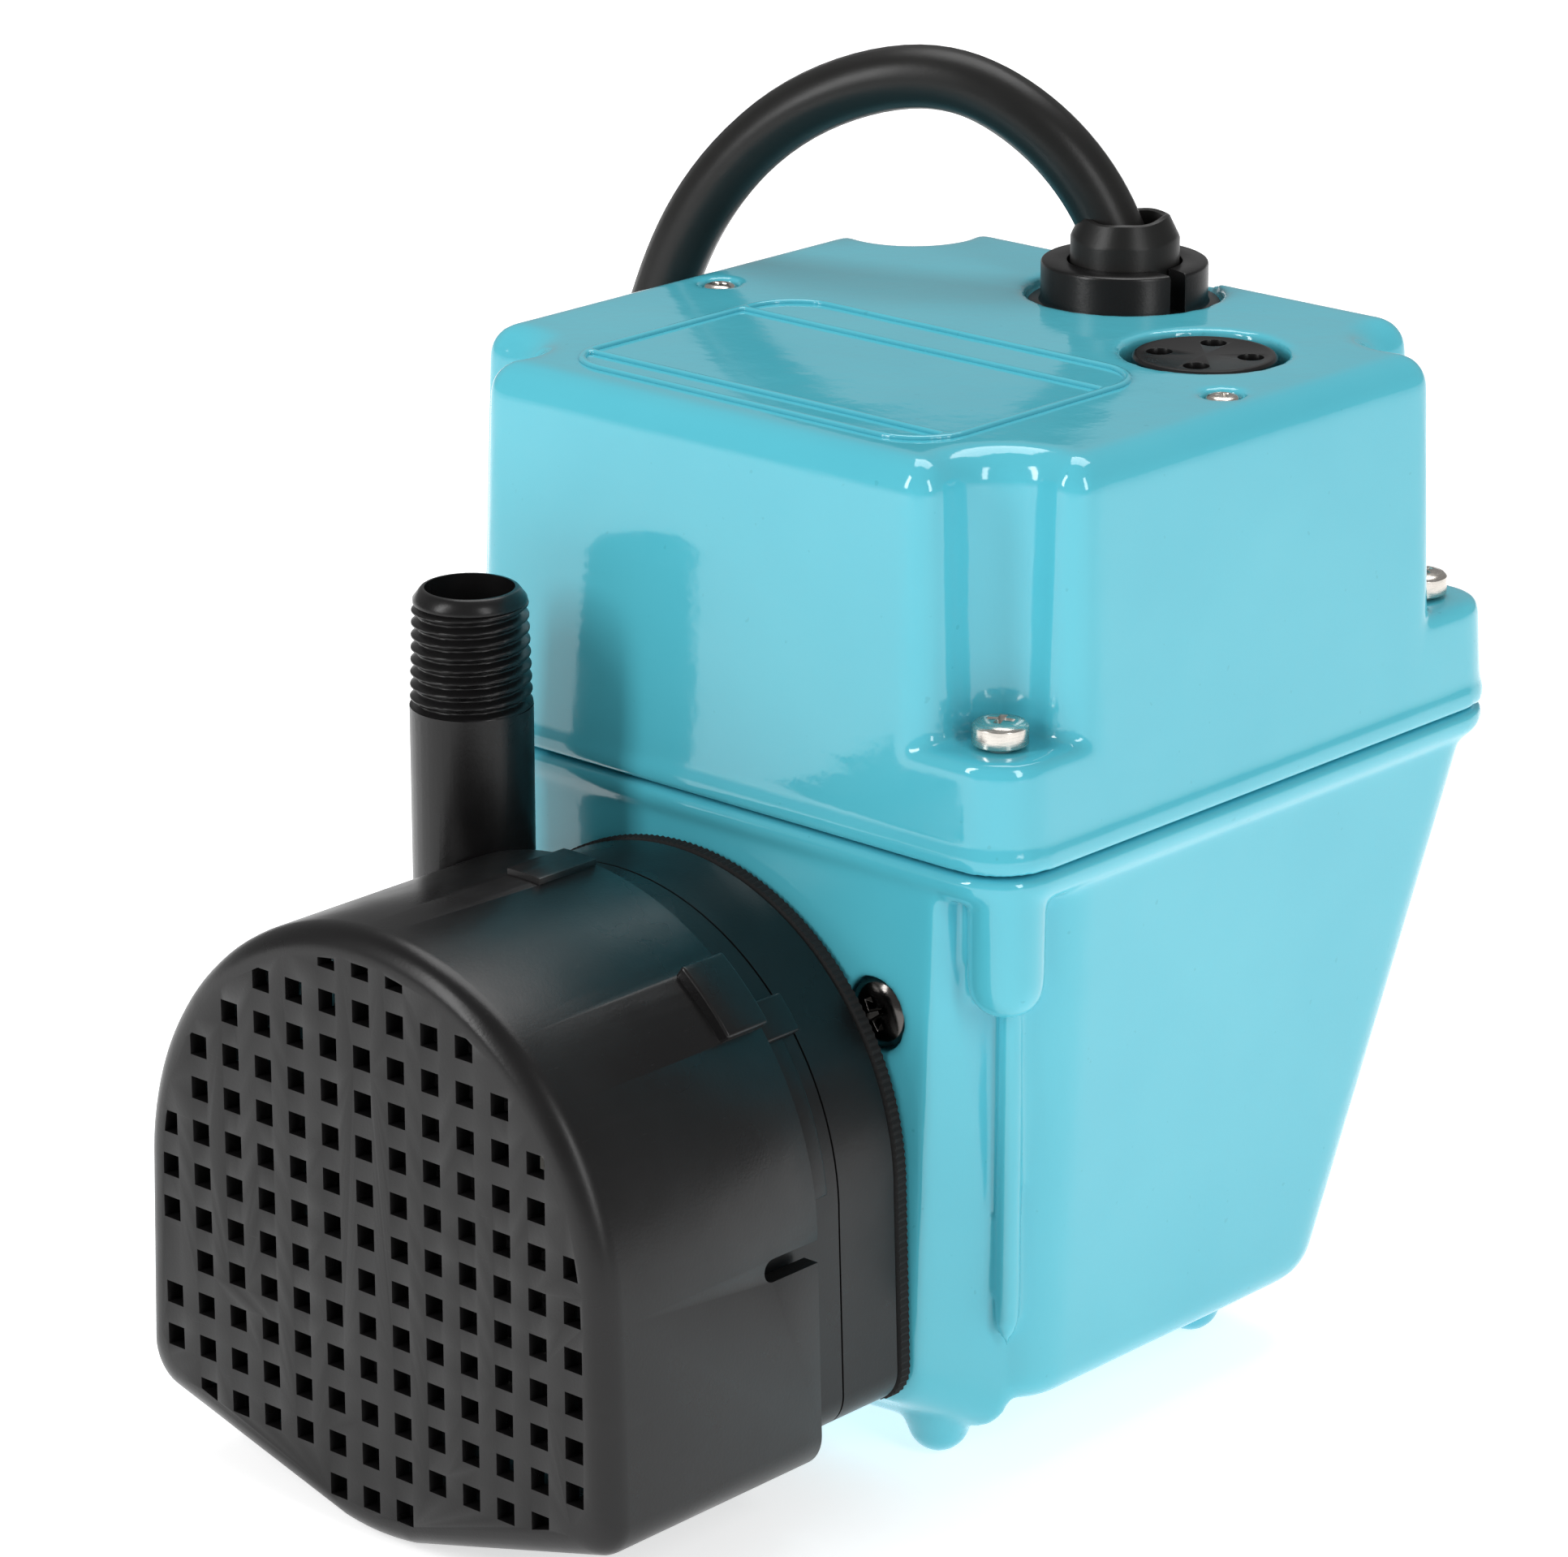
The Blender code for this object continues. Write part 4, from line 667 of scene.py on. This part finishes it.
def make_housing(coating):
    """The motor housing: body, flange, pad, bosses, ribs, feet and cavity."""
    flange_top = PARTING - 0.15
    rings = []
    for step in range(7):
        angle = math.radians(15.0 * step)
        height = HOUSING_BOTTOM + 4.0 * (1.0 - math.cos(angle))
        rings.append(body_ring(height, 4.0 * (1.0 - math.sin(angle))))
    solid = loft([*rings, body_ring(flange_top - 1.5)])
    flange = loft([
        levels_up(casting_outline(1.4), flange_top - 3.6),
        levels_up(casting_outline(0.3), flange_top - 2.4),
        levels_up(casting_outline(0.0), flange_top - 1.6),
        levels_up(casting_outline(0.0), flange_top - 0.5),
        levels_up(casting_outline(0.35), flange_top),
    ])
    pad = loft([
        levels_back(pad_outline(-0.6), PAD_FACE),
        levels_back(pad_outline(0.2), PAD_FACE + 0.9),
        levels_back(pad_outline(3.0, 2.2), BODY_FRONT + 1.5),
        levels_back(pad_outline(3.0, 2.2), BODY_FRONT + 3.0),
    ])
    lumps = [flange, pad]
    boss = [(0.0, flange_top - 1.0), (4.3, flange_top - 1.0), (4.2, 59.6), (3.9, 57.9)]
    boss += [(3.0, 56.6), (1.7, 55.9), (0.0, 55.7)]
    rib = [(0.0, 58.0), (1.3, 58.0), (1.45, 22.0), (1.3, 18.5), (0.0, 15.5)]
    for side in (-1, 1):
        lumps.append(turned(boss, (side * 41.3, 55.8, 0.0), "up", 32))
        lumps.append(turned(rib, (side * 40.0, BODY_FRONT + 0.4, 0.0), "up", 24))
        for depth in FOOT_DEPTHS:
            profile = [(0.0, 20.0), (4.7, 20.0), (4.6, 5.5), (FOOT_RADIUS + 0.2, FOOT_RADIUS)]
            profile += arc(0.0, FOOT_RADIUS, FOOT_RADIUS, -12.0, -72.0, 6)
            profile += [(0.0, 0.0)]
            lumps.append(turned(profile, (side * FOOT_X, depth, 0.0), "up", 32))
    solid = combine(solid, lumps, "UNION")
    hollow = loft([
        body_ring(HOUSING_BOTTOM + 3.2, 4.7),
        body_ring(HOUSING_BOTTOM + 5.2, 3.2),
        body_ring(PARTING - 11.0, 3.2),
        levels_up(rounded_rectangle(*CAVITY_HALF, 16.0, 12, (0.0, CASTING_MIDDLE)), PARTING - 4.5),
        levels_up(rounded_rectangle(*CAVITY_HALF, 16.0, 12, (0.0, CASTING_MIDDLE)), PARTING + 1.0),
    ])
    cuts = [hollow, rod(9.0, PAD_FACE - 1.0, BODY_FRONT + 8.0, (0.0, 0.0, SHAFT_HEIGHT), "back", 64)]
    for x, z in PLATE_SCREWS:
        cuts.append(rod(4.3, PAD_FACE - 1.0, PAD_FACE + 3.0, (x, 0.0, z), "back", 48))
    solid = combine(solid, cuts)
    soft = melt(solid, CASTING_VOXEL, CASTING_ROUNDS)
    return add_piece("housing_casting", soft, coating, "pump", ["motor_housing"])


# ---------------------------------------------------------------- pump head
def sector(inner, outer, start, end, front, back):
    """A curved strip about the shaft's axis between two radii and two angles."""
    outline = arc(0.0, SHAFT_HEIGHT, outer, start, end, 12) + arc(0.0, SHAFT_HEIGHT, inner, end, start, 12)
    return flat([outline], front, back, "back")


def square_holes():
    """The grid of square holes, as one cutter."""
    size = Matrix.Diagonal((HOLE_SIZE * MM, (SCREEN_WALL + 1.4) * MM, HOLE_SIZE * MM, 1.0))
    work = bmesh.new()
    for row in range(13):
        z = 66.1 - HOLE_PITCH * row
        for column in range(-6, 7):
            x = column * HOLE_PITCH
            if math.hypot(x, max(z - SHAFT_HEIGHT, 0.0)) > SCREEN_RADIUS - 2.9:
                continue
            if z < 2.9 + abs(x) * 0.25:
                continue
            cube = bmesh.ops.create_cube(work, size=1.0)
            middle = Matrix.Translation(place(x, SCREEN_WALL / 2.0, z))
            bmesh.ops.transform(work, matrix=middle @ size, verts=cube["verts"])
    mesh = bpy.data.meshes.new("holes")
    work.to_mesh(mesh)
    work.free()
    return mesh


def make_screen(plastic):
    """The snap-on intake screen: rounded face, ribs, side slot, pipe notch and holes."""
    def ring(inset, depth):
        """The screen's outline at a depth, moved in by inset."""
        return levels_back(head_outline(SCREEN_RADIUS - inset, 8.0 + inset, 0.35 + inset), depth)

    rings = []
    for step in range(8):
        angle = math.radians(90.0 * step / 7.0)
        rings.append(ring(SCREEN_FILLET * (1.0 - math.sin(angle)), SCREEN_FILLET * (1.0 - math.cos(angle))))
    solid = loft([*rings, ring(0.0, SCREEN_DEPTH)])
    extras = [
        bevelled(sector(SCREEN_RADIUS - 1.0, SCREEN_RADIUS + 1.5, 39.6, 54.2, 26.4, SCREEN_DEPTH), 0.35),
        bevelled(sector(SCREEN_RADIUS - 1.0, SCREEN_RADIUS + 0.7, 85.2, 93.1, 24.0, SCREEN_DEPTH), 0.2),
        bevelled(sector(SCREEN_RADIUS - 1.0, SCREEN_RADIUS + 1.0, 141.7, 150.4, 26.4, SCREEN_DEPTH), 0.25),
    ]
    solid = combine(solid, extras, "UNION")
    inner = head_outline(SCREEN_RADIUS - SCREEN_WALL, 9.1, 1.45)
    hollow = flat([inner], SCREEN_WALL, SCREEN_DEPTH + 2.0, "back")
    slot = [(36.0, 32.5)] + arc(25.6, 33.8, 1.3, 270.0, 90.0, 16) + [(36.0, 35.1)]
    notch = [(PIPE_X - NOTCH_RADIUS, 40.0), (PIPE_X - NOTCH_RADIUS, PIPE_DEPTH)]
    notch += arc(PIPE_X, PIPE_DEPTH, NOTCH_RADIUS, 180.0, 360.0, 24)
    notch += [(PIPE_X + NOTCH_RADIUS, 40.0)]
    solid = combine(solid, [hollow, flat([slot], 30.0, 38.0, "side"), flat([notch], 45.0, 75.0, "up")])
    limit = flat([head_outline(SCREEN_RADIUS - 3.37, 10.7, 3.07, 61)], -1.0, SCREEN_WALL + 1.0, "back")
    holes = combine(square_holes(), [limit], "INTERSECT")
    solid = combine(solid, [holes])
    return add_piece("screen_moulding", bevelled(solid, 0.12, 2, 50.0), plastic, "screen",
                     ["intake_screen"])


def thread(turns, top):
    """The pipe's outer wall: a tapered helical ridge that fades out at both ends."""
    steps = 72
    rows = 16 * (turns + 2)
    work = bmesh.new()
    loops = []
    low = top - THREAD_PITCH * turns
    for row in range(rows + 1):
        height = low - 1.6 + (top - low + 1.6) * row / rows
        loop = []
        for step in range(steps):
            angle = 2.0 * math.pi * step / steps
            phase = ((height - low) / THREAD_PITCH - step / steps) % 1.0
            ridge = 1.0 - abs(2.0 * phase - 1.0)
            ridge = min(max((ridge - 0.12) / 0.76, 0.0), 1.0)
            share = min(max((height - low) / 0.9, 0.0), 1.0)
            crest = PIPE_RADIUS - 0.02 - (height - low) / 32.0
            radius = (1.0 - share) * PIPE_RADIUS + share * (crest - 0.78 * (1.0 - ridge))
            x = PIPE_X + radius * math.cos(angle)
            depth = PIPE_DEPTH + radius * math.sin(angle)
            loop.append(work.verts.new(place(x, depth, height)))
        loops.append(loop)
    for lower, upper in zip(loops, loops[1:]):
        for step in range(steps):
            following = (step + 1) % steps
            work.faces.new((lower[step], lower[following], upper[following], upper[step]))
    work.faces.new(loops[0])
    work.faces.new(loops[-1])
    mesh = bpy.data.meshes.new("thread")
    work.to_mesh(mesh)
    work.free()
    return clean(mesh)


def make_volute(plastic):
    """The volute with its chamber, discharge pipe, thread and catch."""
    axis = (PIPE_X, PIPE_DEPTH, 0.0)
    front = bevelled(flat([volute_outline()], 24.0, SEAM - 0.12, "back"), 0.25, 3, 50.0)
    thread_top = PIPE_TOP - 1.3
    low = thread_top - THREAD_PITCH * THREAD_TURNS
    wall = [(0.0, low + 1.0), (PIPE_RADIUS, low + 0.6), (PIPE_RADIUS, 48.0), (0.0, 48.0)]
    stem = turned(wall, axis, "up", 72)
    mouth = [(0.0, PIPE_TOP), (5.25, PIPE_TOP), (5.5, PIPE_TOP - 0.15), (6.3, thread_top + 0.1)]
    mouth += [(6.3, thread_top - 0.35), (5.6, thread_top - 0.9), (0.0, thread_top - 0.9)]
    rim = turned(mouth, axis, "up", 72)
    catch = bevelled(sector(VOLUTE_RADIUS - 1.0, VOLUTE_RADIUS + 1.6, 37.0, 45.0, 33.2, SEAM - 0.3), 0.3)
    strip = bevelled(sector(VOLUTE_RADIUS - 1.0, VOLUTE_RADIUS + 0.6, 6.0, 37.5, 33.2, 37.0), 0.2)
    solid = combine(front, [stem, thread(THREAD_TURNS, thread_top), rim, catch, strip], "UNION")
    axle = (0.0, 0.0, SHAFT_HEIGHT)
    cuts = [
        rod(CHAMBER_RADIUS, 27.0, 45.0, axle, "back", 72),
        rod(8.0, 23.0, 28.0, axle, "back", 48),
        rod(PIPE_BORE, 44.0, PIPE_TOP + 1.0, axis, "up", 64),
    ]
    for x, z in HEAD_SCREWS:
        cuts.append(rod(3.6, 23.0, 27.4, (x, 0.0, z), "back", 32))
    solid = combine(solid, cuts)
    return add_piece("volute_moulding", solid, plastic, "pump", ["volute"])


def make_back_plate(plastic):
    """The plate behind the volute, with its chamber, shaft bore and pipe clearance."""
    plate = bevelled(flat([volute_outline()], SEAM + 0.12, VOLUTE_BACK, "back"), 0.25, 3, 50.0)
    axle = (0.0, 0.0, SHAFT_HEIGHT)
    seat = rod(PIPE_RADIUS + 0.3, 47.7, 80.0, (PIPE_X, PIPE_DEPTH, 0.0), "up", 72)
    chamber = rod(CHAMBER_RADIUS, 38.0, 44.0, axle, "back", 72)
    shaft_bore = rod(7.6, 40.0, 49.0, axle, "back", 48)
    solid = combine(plate, [chamber, shaft_bore, seat])
    return add_piece("back_plate_moulding", solid, plastic, "pump", ["volute_back_plate"])


def make_gasket(rubber):
    """Ribbed foam gasket: its edge ripples all round."""
    base = volute_outline(VOLUTE_RADIUS + 0.15)
    lengths = [0.0]
    for a, b in zip(base, base[1:] + base[:1]):
        lengths.append(lengths[-1] + math.dist(a, b))
    count = 1040
    outline = []
    index = 0
    for number in range(count):
        target = lengths[-1] * number / count
        while lengths[index + 1] < target:
            index += 1
        a, b = base[index], base[(index + 1) % len(base)]
        share = (target - lengths[index]) / max(lengths[index + 1] - lengths[index], 1e-9)
        x = a[0] + (b[0] - a[0]) * share
        z = a[1] + (b[1] - a[1]) * share
        ripple = 0.09 * math.sin(math.pi * number * 0.5)
        direction = Vector((x, z - SHAFT_HEIGHT)).normalized()
        outline.append((x + direction.x * ripple, z + direction.y * ripple))
    rings = []
    for pull, depth in ((0.5, 48.45), (0.0, 48.75), (0.0, 50.1), (0.5, 50.4)):
        scale = 1.0 - pull / VOLUTE_RADIUS
        rings.append([(x * scale, depth, SHAFT_HEIGHT + (z - SHAFT_HEIGHT) * scale) for x, z in outline])
    solid = combine(loft(rings), [rod(23.5, 47.0, 52.0, (0.0, 0.0, SHAFT_HEIGHT), "back", 64)])
    return add_piece("gasket_foam", solid, rubber, "pump", ["volute_gasket"])


# ---------------------------------------------------------------- screws
def phillips(radius, height, shank, length, dome=0.35):
    """A cheese head screw with a cross recess, head up, its seat at height 0."""
    edge = radius * 0.12
    profile = [(0.0, height)]
    profile += [(radius * 0.55, height - dome * 0.25), (radius - edge, height - dome)]
    profile += [(radius, height - dome - edge), (radius, 0.15), (radius - 0.15, 0.0)]
    profile += [(shank, 0.0), (shank, -length), (0.0, -length)]
    body = turned(profile, (0.0, -FACE, 0.0), "up", 48)
    arm = radius * 0.56
    thick = radius * 0.15
    deep = height - min(height * 0.7, radius * 0.5)
    signs = ((1, 1), (-1, 1), (-1, -1), (1, -1))
    arms = []
    for wide, tall in ((arm, thick), (thick, arm)):
        foot = [(sx * wide * 0.35, sy * tall * 0.35 - FACE, deep) for sx, sy in signs]
        mouth = [(sx * wide, sy * tall - FACE, height + 0.2) for sx, sy in signs]
        arms.append(loft([foot, mouth]))
    return bevelled(combine(body, arms), 0.06, 2, 40.0)


def make_screws(steel, dark_steel):
    """Four ledge screws, two small screws in the top and two screws on the pad."""
    corner_names = ("front_right", "front_left", "rear_right", "rear_left")
    for number, (label, (side, end)) in enumerate(zip(corner_names, CORNERS)):
        x, depth = cover_screw_place(side, end)
        mesh = phillips(3.08, 2.8, 1.5, 9.0)
        turn = Matrix.Rotation(math.radians(25.0 + 67.0 * number), 4, "Z")
        mesh.transform(Matrix.Translation(place(x, depth, LEDGE_HEIGHT + 0.3)) @ turn)
        add_piece("ledge_screw_" + label, mesh, steel, "pump", ["cover_screw_" + label])
    plate_x, plate_z = PLATE_SCREWS[0]
    for number, (label, side) in enumerate((("left", -1), ("right", 1))):
        mesh = phillips(1.85, 1.9, 1.0, 6.0, 0.2)
        turn = Matrix.Rotation(math.radians(15.0 + 50.0 * number), 4, "Z")
        mesh.transform(Matrix.Translation(place(side * TOP_SCREW_X, TOP_SCREW_DEPTH, 113.75)) @ turn)
        add_piece("top_screw_" + label, mesh, steel, "pump", ["mount_screw_" + label])
        mesh = phillips(3.9, 2.3, 1.9, 6.0, 0.5)
        turn = Matrix.Rotation(math.radians(90.0), 4, "X") @ Matrix.Rotation(math.radians(30.0), 4, "Z")
        mesh.transform(Matrix.Translation(place(side * plate_x, 53.4, plate_z)) @ turn)
        add_piece("pad_screw_" + label, mesh, dark_steel, "pump",
                  ["motor_plate_screw_" + label])


# ---------------------------------------------------------------- cord entry, cap and top details
def make_gland(plastic):
    """Thick ring nut with a foot that fills the recess, split by one gap at its front right."""
    centre = (0.0, GLAND_DEPTH, 0.0)
    profile = [(6.7, 119.3), (6.85, 119.4), (9.4, 119.4), (9.65, 119.25), (9.75, 119.0), (9.75, 115.1)]
    profile += [(9.95, 114.6), (11.1, 114.5), (11.3, 114.25), (11.3, 113.7), (6.7, 113.7)]
    nut = turned(profile, centre, "up", 96, True)
    gap = block((6.0, -1.1, 114.7), (11.0, 1.1, 121.0))
    turn = Matrix.Rotation(math.radians(GLAND_GAP_ANGLE), 4, "Z")
    gap.transform(Matrix.Translation(place(*centre)) @ turn @ Matrix.Translation(-place(0.0, 0.0, 0.0)))
    return add_piece("gland_ring", bevelled(combine(nut, [gap]), 0.25, 3), plastic, "pump",
                     ["cord_gland_nut"])


def make_collar(rubber):
    """The strain relief: a stiff sleeve with a chamfered, slightly uneven mouth that grips the cord."""
    centre = (0.0, GLAND_DEPTH, 0.0)
    sleeve = turned([(3.95, 123.9), (4.3, 124.7), (4.75, 124.9), (5.15, 124.75), (6.2, 122.6), (6.35, 122.2),
                     (6.35, 104.2), (4.1, 104.0)], centre, "up", 96, True)
    middle = place(*centre)
    for vertex in sleeve.vertices:
        if vertex.co.z > 121.0 * MM:
            angle = math.atan2(vertex.co.y - middle.y, vertex.co.x - middle.x)
            vertex.co.z += MM * (0.22 * math.sin(2.0 * angle + 0.6) + 0.10 * math.sin(5.0 * angle) - 0.3)
    return add_piece("collar_sleeve", sleeve, rubber, "pump", ["cord_strain_relief"])


def make_cap(plastic):
    """The diaphragm cap: a disc with a slightly raised rim and four vents."""
    centre = (CAP_X, CAP_DEPTH, 0.0)
    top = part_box("diaphragm_cap")[1].z / MM
    disc = turned([(0.0, top - 0.12), (7.2, top - 0.12), (7.5, top), (7.9, top - 0.05), (8.2, top - 0.35),
                   (8.2, top - 1.9), (0.0, top - 1.9)], centre, "up", 80)
    holes = []
    for number in range(4):
        angle = math.radians(VENT_START + 90.0 * number)
        spot = (CAP_X + VENT_CIRCLE * math.cos(angle), CAP_DEPTH + VENT_CIRCLE * math.sin(angle), 0.0)
        holes.append(rod(VENT_RADIUS, top - 3.0, top + 1.0, spot, "up", 32))
    return add_piece("cap_disc", bevelled(combine(disc, holes), 0.12, 2), plastic, "pump",
                     ["diaphragm_cap"])


def make_border(coating):
    """The raised frame on the cover's top, soft-edged like the casting."""
    low = COVER_TOP - 0.25
    high = COVER_TOP + 0.45
    wide = 0.9
    outer = rounded_rectangle(27.4, 19.6, 7.0, 12, BORDER_CENTRE)
    inner = rounded_rectangle(27.4 - wide, 19.6 - wide, 7.0 - wide, 12, BORDER_CENTRE)
    bars = []
    for depth in BORDER_BARS:
        bars.append(block((-26.8, depth - wide / 2.0, low), (27.4, depth + wide / 2.0, high)))
    solid = combine(flat([outer, inner], low, high, "up"), bars, "UNION")
    soft = melt(solid, 0.2, 6)
    return add_piece("top_border", soft, coating, "pump", ["name_plate_border"])


# ---------------------------------------------------------------- cord
CORD_ROUTE = ((-40.0, 110.6, 134.2), (-51.0, 106.6, 121.0), (-55.6, 105.0, 108.0),
              (-59.2, 102.6, 92.0), (-61.0, 100.6, 72.0), (-61.0, 99.6, 50.0), (-59.5, 100.4, 29.7),
              (-58.1, 103.5, 21.5), (-55.9, 108.4, 14.5), (-53.0, 114.7, 9.1), (-49.6, 122.2, 5.7),
              (-45.9, 130.2, 4.5))
LEAD_DIRECTION = (-0.939, -0.344)
LEAD_BEND = 30.0
LEAD_BACK = 1.8
LEAD_HEIGHT = 110.5
COIL_RADII = (46.9, 39.4, 31.9, 31.9, 39.4, 46.9)
COIL_START = -24.6
POINTS_PER_TURN = 20
EASE_FROM = 0.78
EASE_SPAN = 0.22
PLUG_BEND = 35.0
PLUG_DEPTH = COIL_DEPTH + 40.0


def lead_route():
    """Out of the collar and over the top in one arc."""
    steps = [(-LEAD_BACK, LEAD_HEIGHT - 4.5), (-LEAD_BACK, LEAD_HEIGHT)]
    for degrees in range(18, 85, 22):
        angle = math.radians(degrees)
        steps.append((LEAD_BEND * (1.0 - math.cos(angle)) - LEAD_BACK,
                      LEAD_HEIGHT + LEAD_BEND * math.sin(angle)))
    across, back = LEAD_DIRECTION
    return [(along * across, GLAND_DEPTH + along * back, height) for along, height in steps]


def coil_route():
    """From the floor through six turns, out, in, in and back out, then up to the plug."""
    turns = len(COIL_RADII)
    points = []
    for step in range(turns * POINTS_PER_TURN + 3):
        along = step / float(POINTS_PER_TURN)
        turn = min(int(along), turns - 1)
        share = along - turn
        ease = min(max((share - EASE_FROM) / EASE_SPAN, 0.0), 1.0)
        ease = ease * ease * (3.0 - 2.0 * ease)
        here = COIL_RADII[turn]
        following = COIL_RADII[min(turn + 1, turns - 1)]
        radius = here + (following - here) * ease
        layer = 0.0 if turn < 3 else 1.0
        if turn == 2:
            layer = ease
        angle = math.radians(COIL_START + 360.0 * along)
        points.append((COIL_X + radius * math.cos(angle), COIL_DEPTH + radius * math.sin(angle),
                       COIL_LOW + CORD_RADIUS + 0.05 + 2.0 * CORD_RADIUS * layer))
    return points


def plug_route():
    """The last stretch: off the top turn and up into the plug that lies on the coil."""
    top = COIL_LOW + 3.0 * CORD_RADIUS
    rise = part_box("plug_body")
    axis = (rise[0].z + rise[1].z) / 2.0 / MM
    centre = (COIL_X + 11.5, PLUG_DEPTH - PLUG_BEND)
    points = []
    for step in range(1, 5):
        angle = 22.0 + 68.0 * step / 4.0
        share = step / 4.0
        height = top + (axis - top) * share * share * (3.0 - 2.0 * share)
        x = centre[0] + PLUG_BEND * math.cos(math.radians(angle))
        depth = centre[1] + PLUG_BEND * math.sin(math.radians(angle))
        points.append((x, depth, height))
    points.append((COIL_X + 9.0, PLUG_DEPTH, axis))
    return points


def make_cord(rubber):
    """The mains cord, as one round curve from the collar to the plug."""
    curve = bpy.data.curves.new("cord", "CURVE")
    curve.dimensions = "3D"
    curve.bevel_depth = CORD_RADIUS * MM
    curve.bevel_resolution = 5
    curve.use_fill_caps = True
    curve.resolution_u = 8
    spline = curve.splines.new("NURBS")
    points = [*lead_route(), *CORD_ROUTE, *coil_route(), *plug_route()]
    spline.points.add(len(points) - 1)
    for point, position in zip(spline.points, points):
        point.co = (*place(*position), 1.0)
    spline.order_u = 4
    spline.use_endpoint_u = True
    cord = bpy.data.objects.new("mains_cord", curve)
    bpy.context.scene.collection.objects.link(cord)
    curve.materials.append(rubber)
    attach(cord, "pump")
    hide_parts("power_cord", "cord_coil")
    return cord


make_camera()
make_studio()

coating = coating_material()
plastic = black_plastic_material("moulded_black", (0.0062, 0.0058, 0.0060), 0.24, 0.38)
cord_rubber = black_plastic_material("cord_jacket", (0.0100, 0.0095, 0.0090), 0.30, 0.42, 0.15)
foam = black_plastic_material("gasket_foam", (0.012, 0.012, 0.012), 0.75, 0.95, 0.1)
steel = steel_material("bright_steel", (0.66, 0.62, 0.57), 0.16, 0.34)
dark_steel = steel_material("dark_chrome", (0.10, 0.095, 0.09), 0.10, 0.22)

cord = make_cord(cord_rubber)
make_cover(coating)
make_housing(coating)
make_border(coating)
make_screen(plastic)
make_volute(plastic)
make_back_plate(plastic)
make_gasket(foam)
make_screws(steel, dark_steel)
make_gland(plastic)
make_collar(cord_rubber)
make_cap(plastic)

INSIDE = {
    "stainless_steel": steel,
    "lamination_steel": lamination_material(),
    "enamelled_copper": winding_material(),
    "cast_aluminium": plain_material("cast_aluminium_grain", (0.62, 0.63, 0.64), 0.42, 1.0, 400.0),
    "white_nylon": plain_material("nylon_moulding", (0.76, 0.74, 0.67), 0.42),
    "sintered_bronze": plain_material("bronze_grain", (0.46, 0.30, 0.12), 0.38, 1.0, 900.0),
    "seal_ceramic": plain_material("ceramic_glaze", (0.82, 0.80, 0.74), 0.22),
    "plug_brass": steel_material("brass_pins", (0.74, 0.54, 0.24), 0.18, 0.34),
    "black_wire": plain_material("black_wire_sleeve", (0.02, 0.02, 0.02), 0.45),
    "white_wire": plain_material("white_wire_sleeve", (0.8, 0.8, 0.76), 0.45),
    "green_wire": plain_material("green_wire_sleeve", (0.03, 0.30, 0.07), 0.45),
    "black_rubber": cord_rubber,
    "black_plastic": plastic,
    "epoxy_coating": coating,
}
slots = {entry["node"]: entry["material_slot"] for entry in frame["record"]["subparts"]}
for node, piece in frame["nodes"].items():
    piece.data.materials.clear()
    piece.data.materials.append(INSIDE[slots[node]])
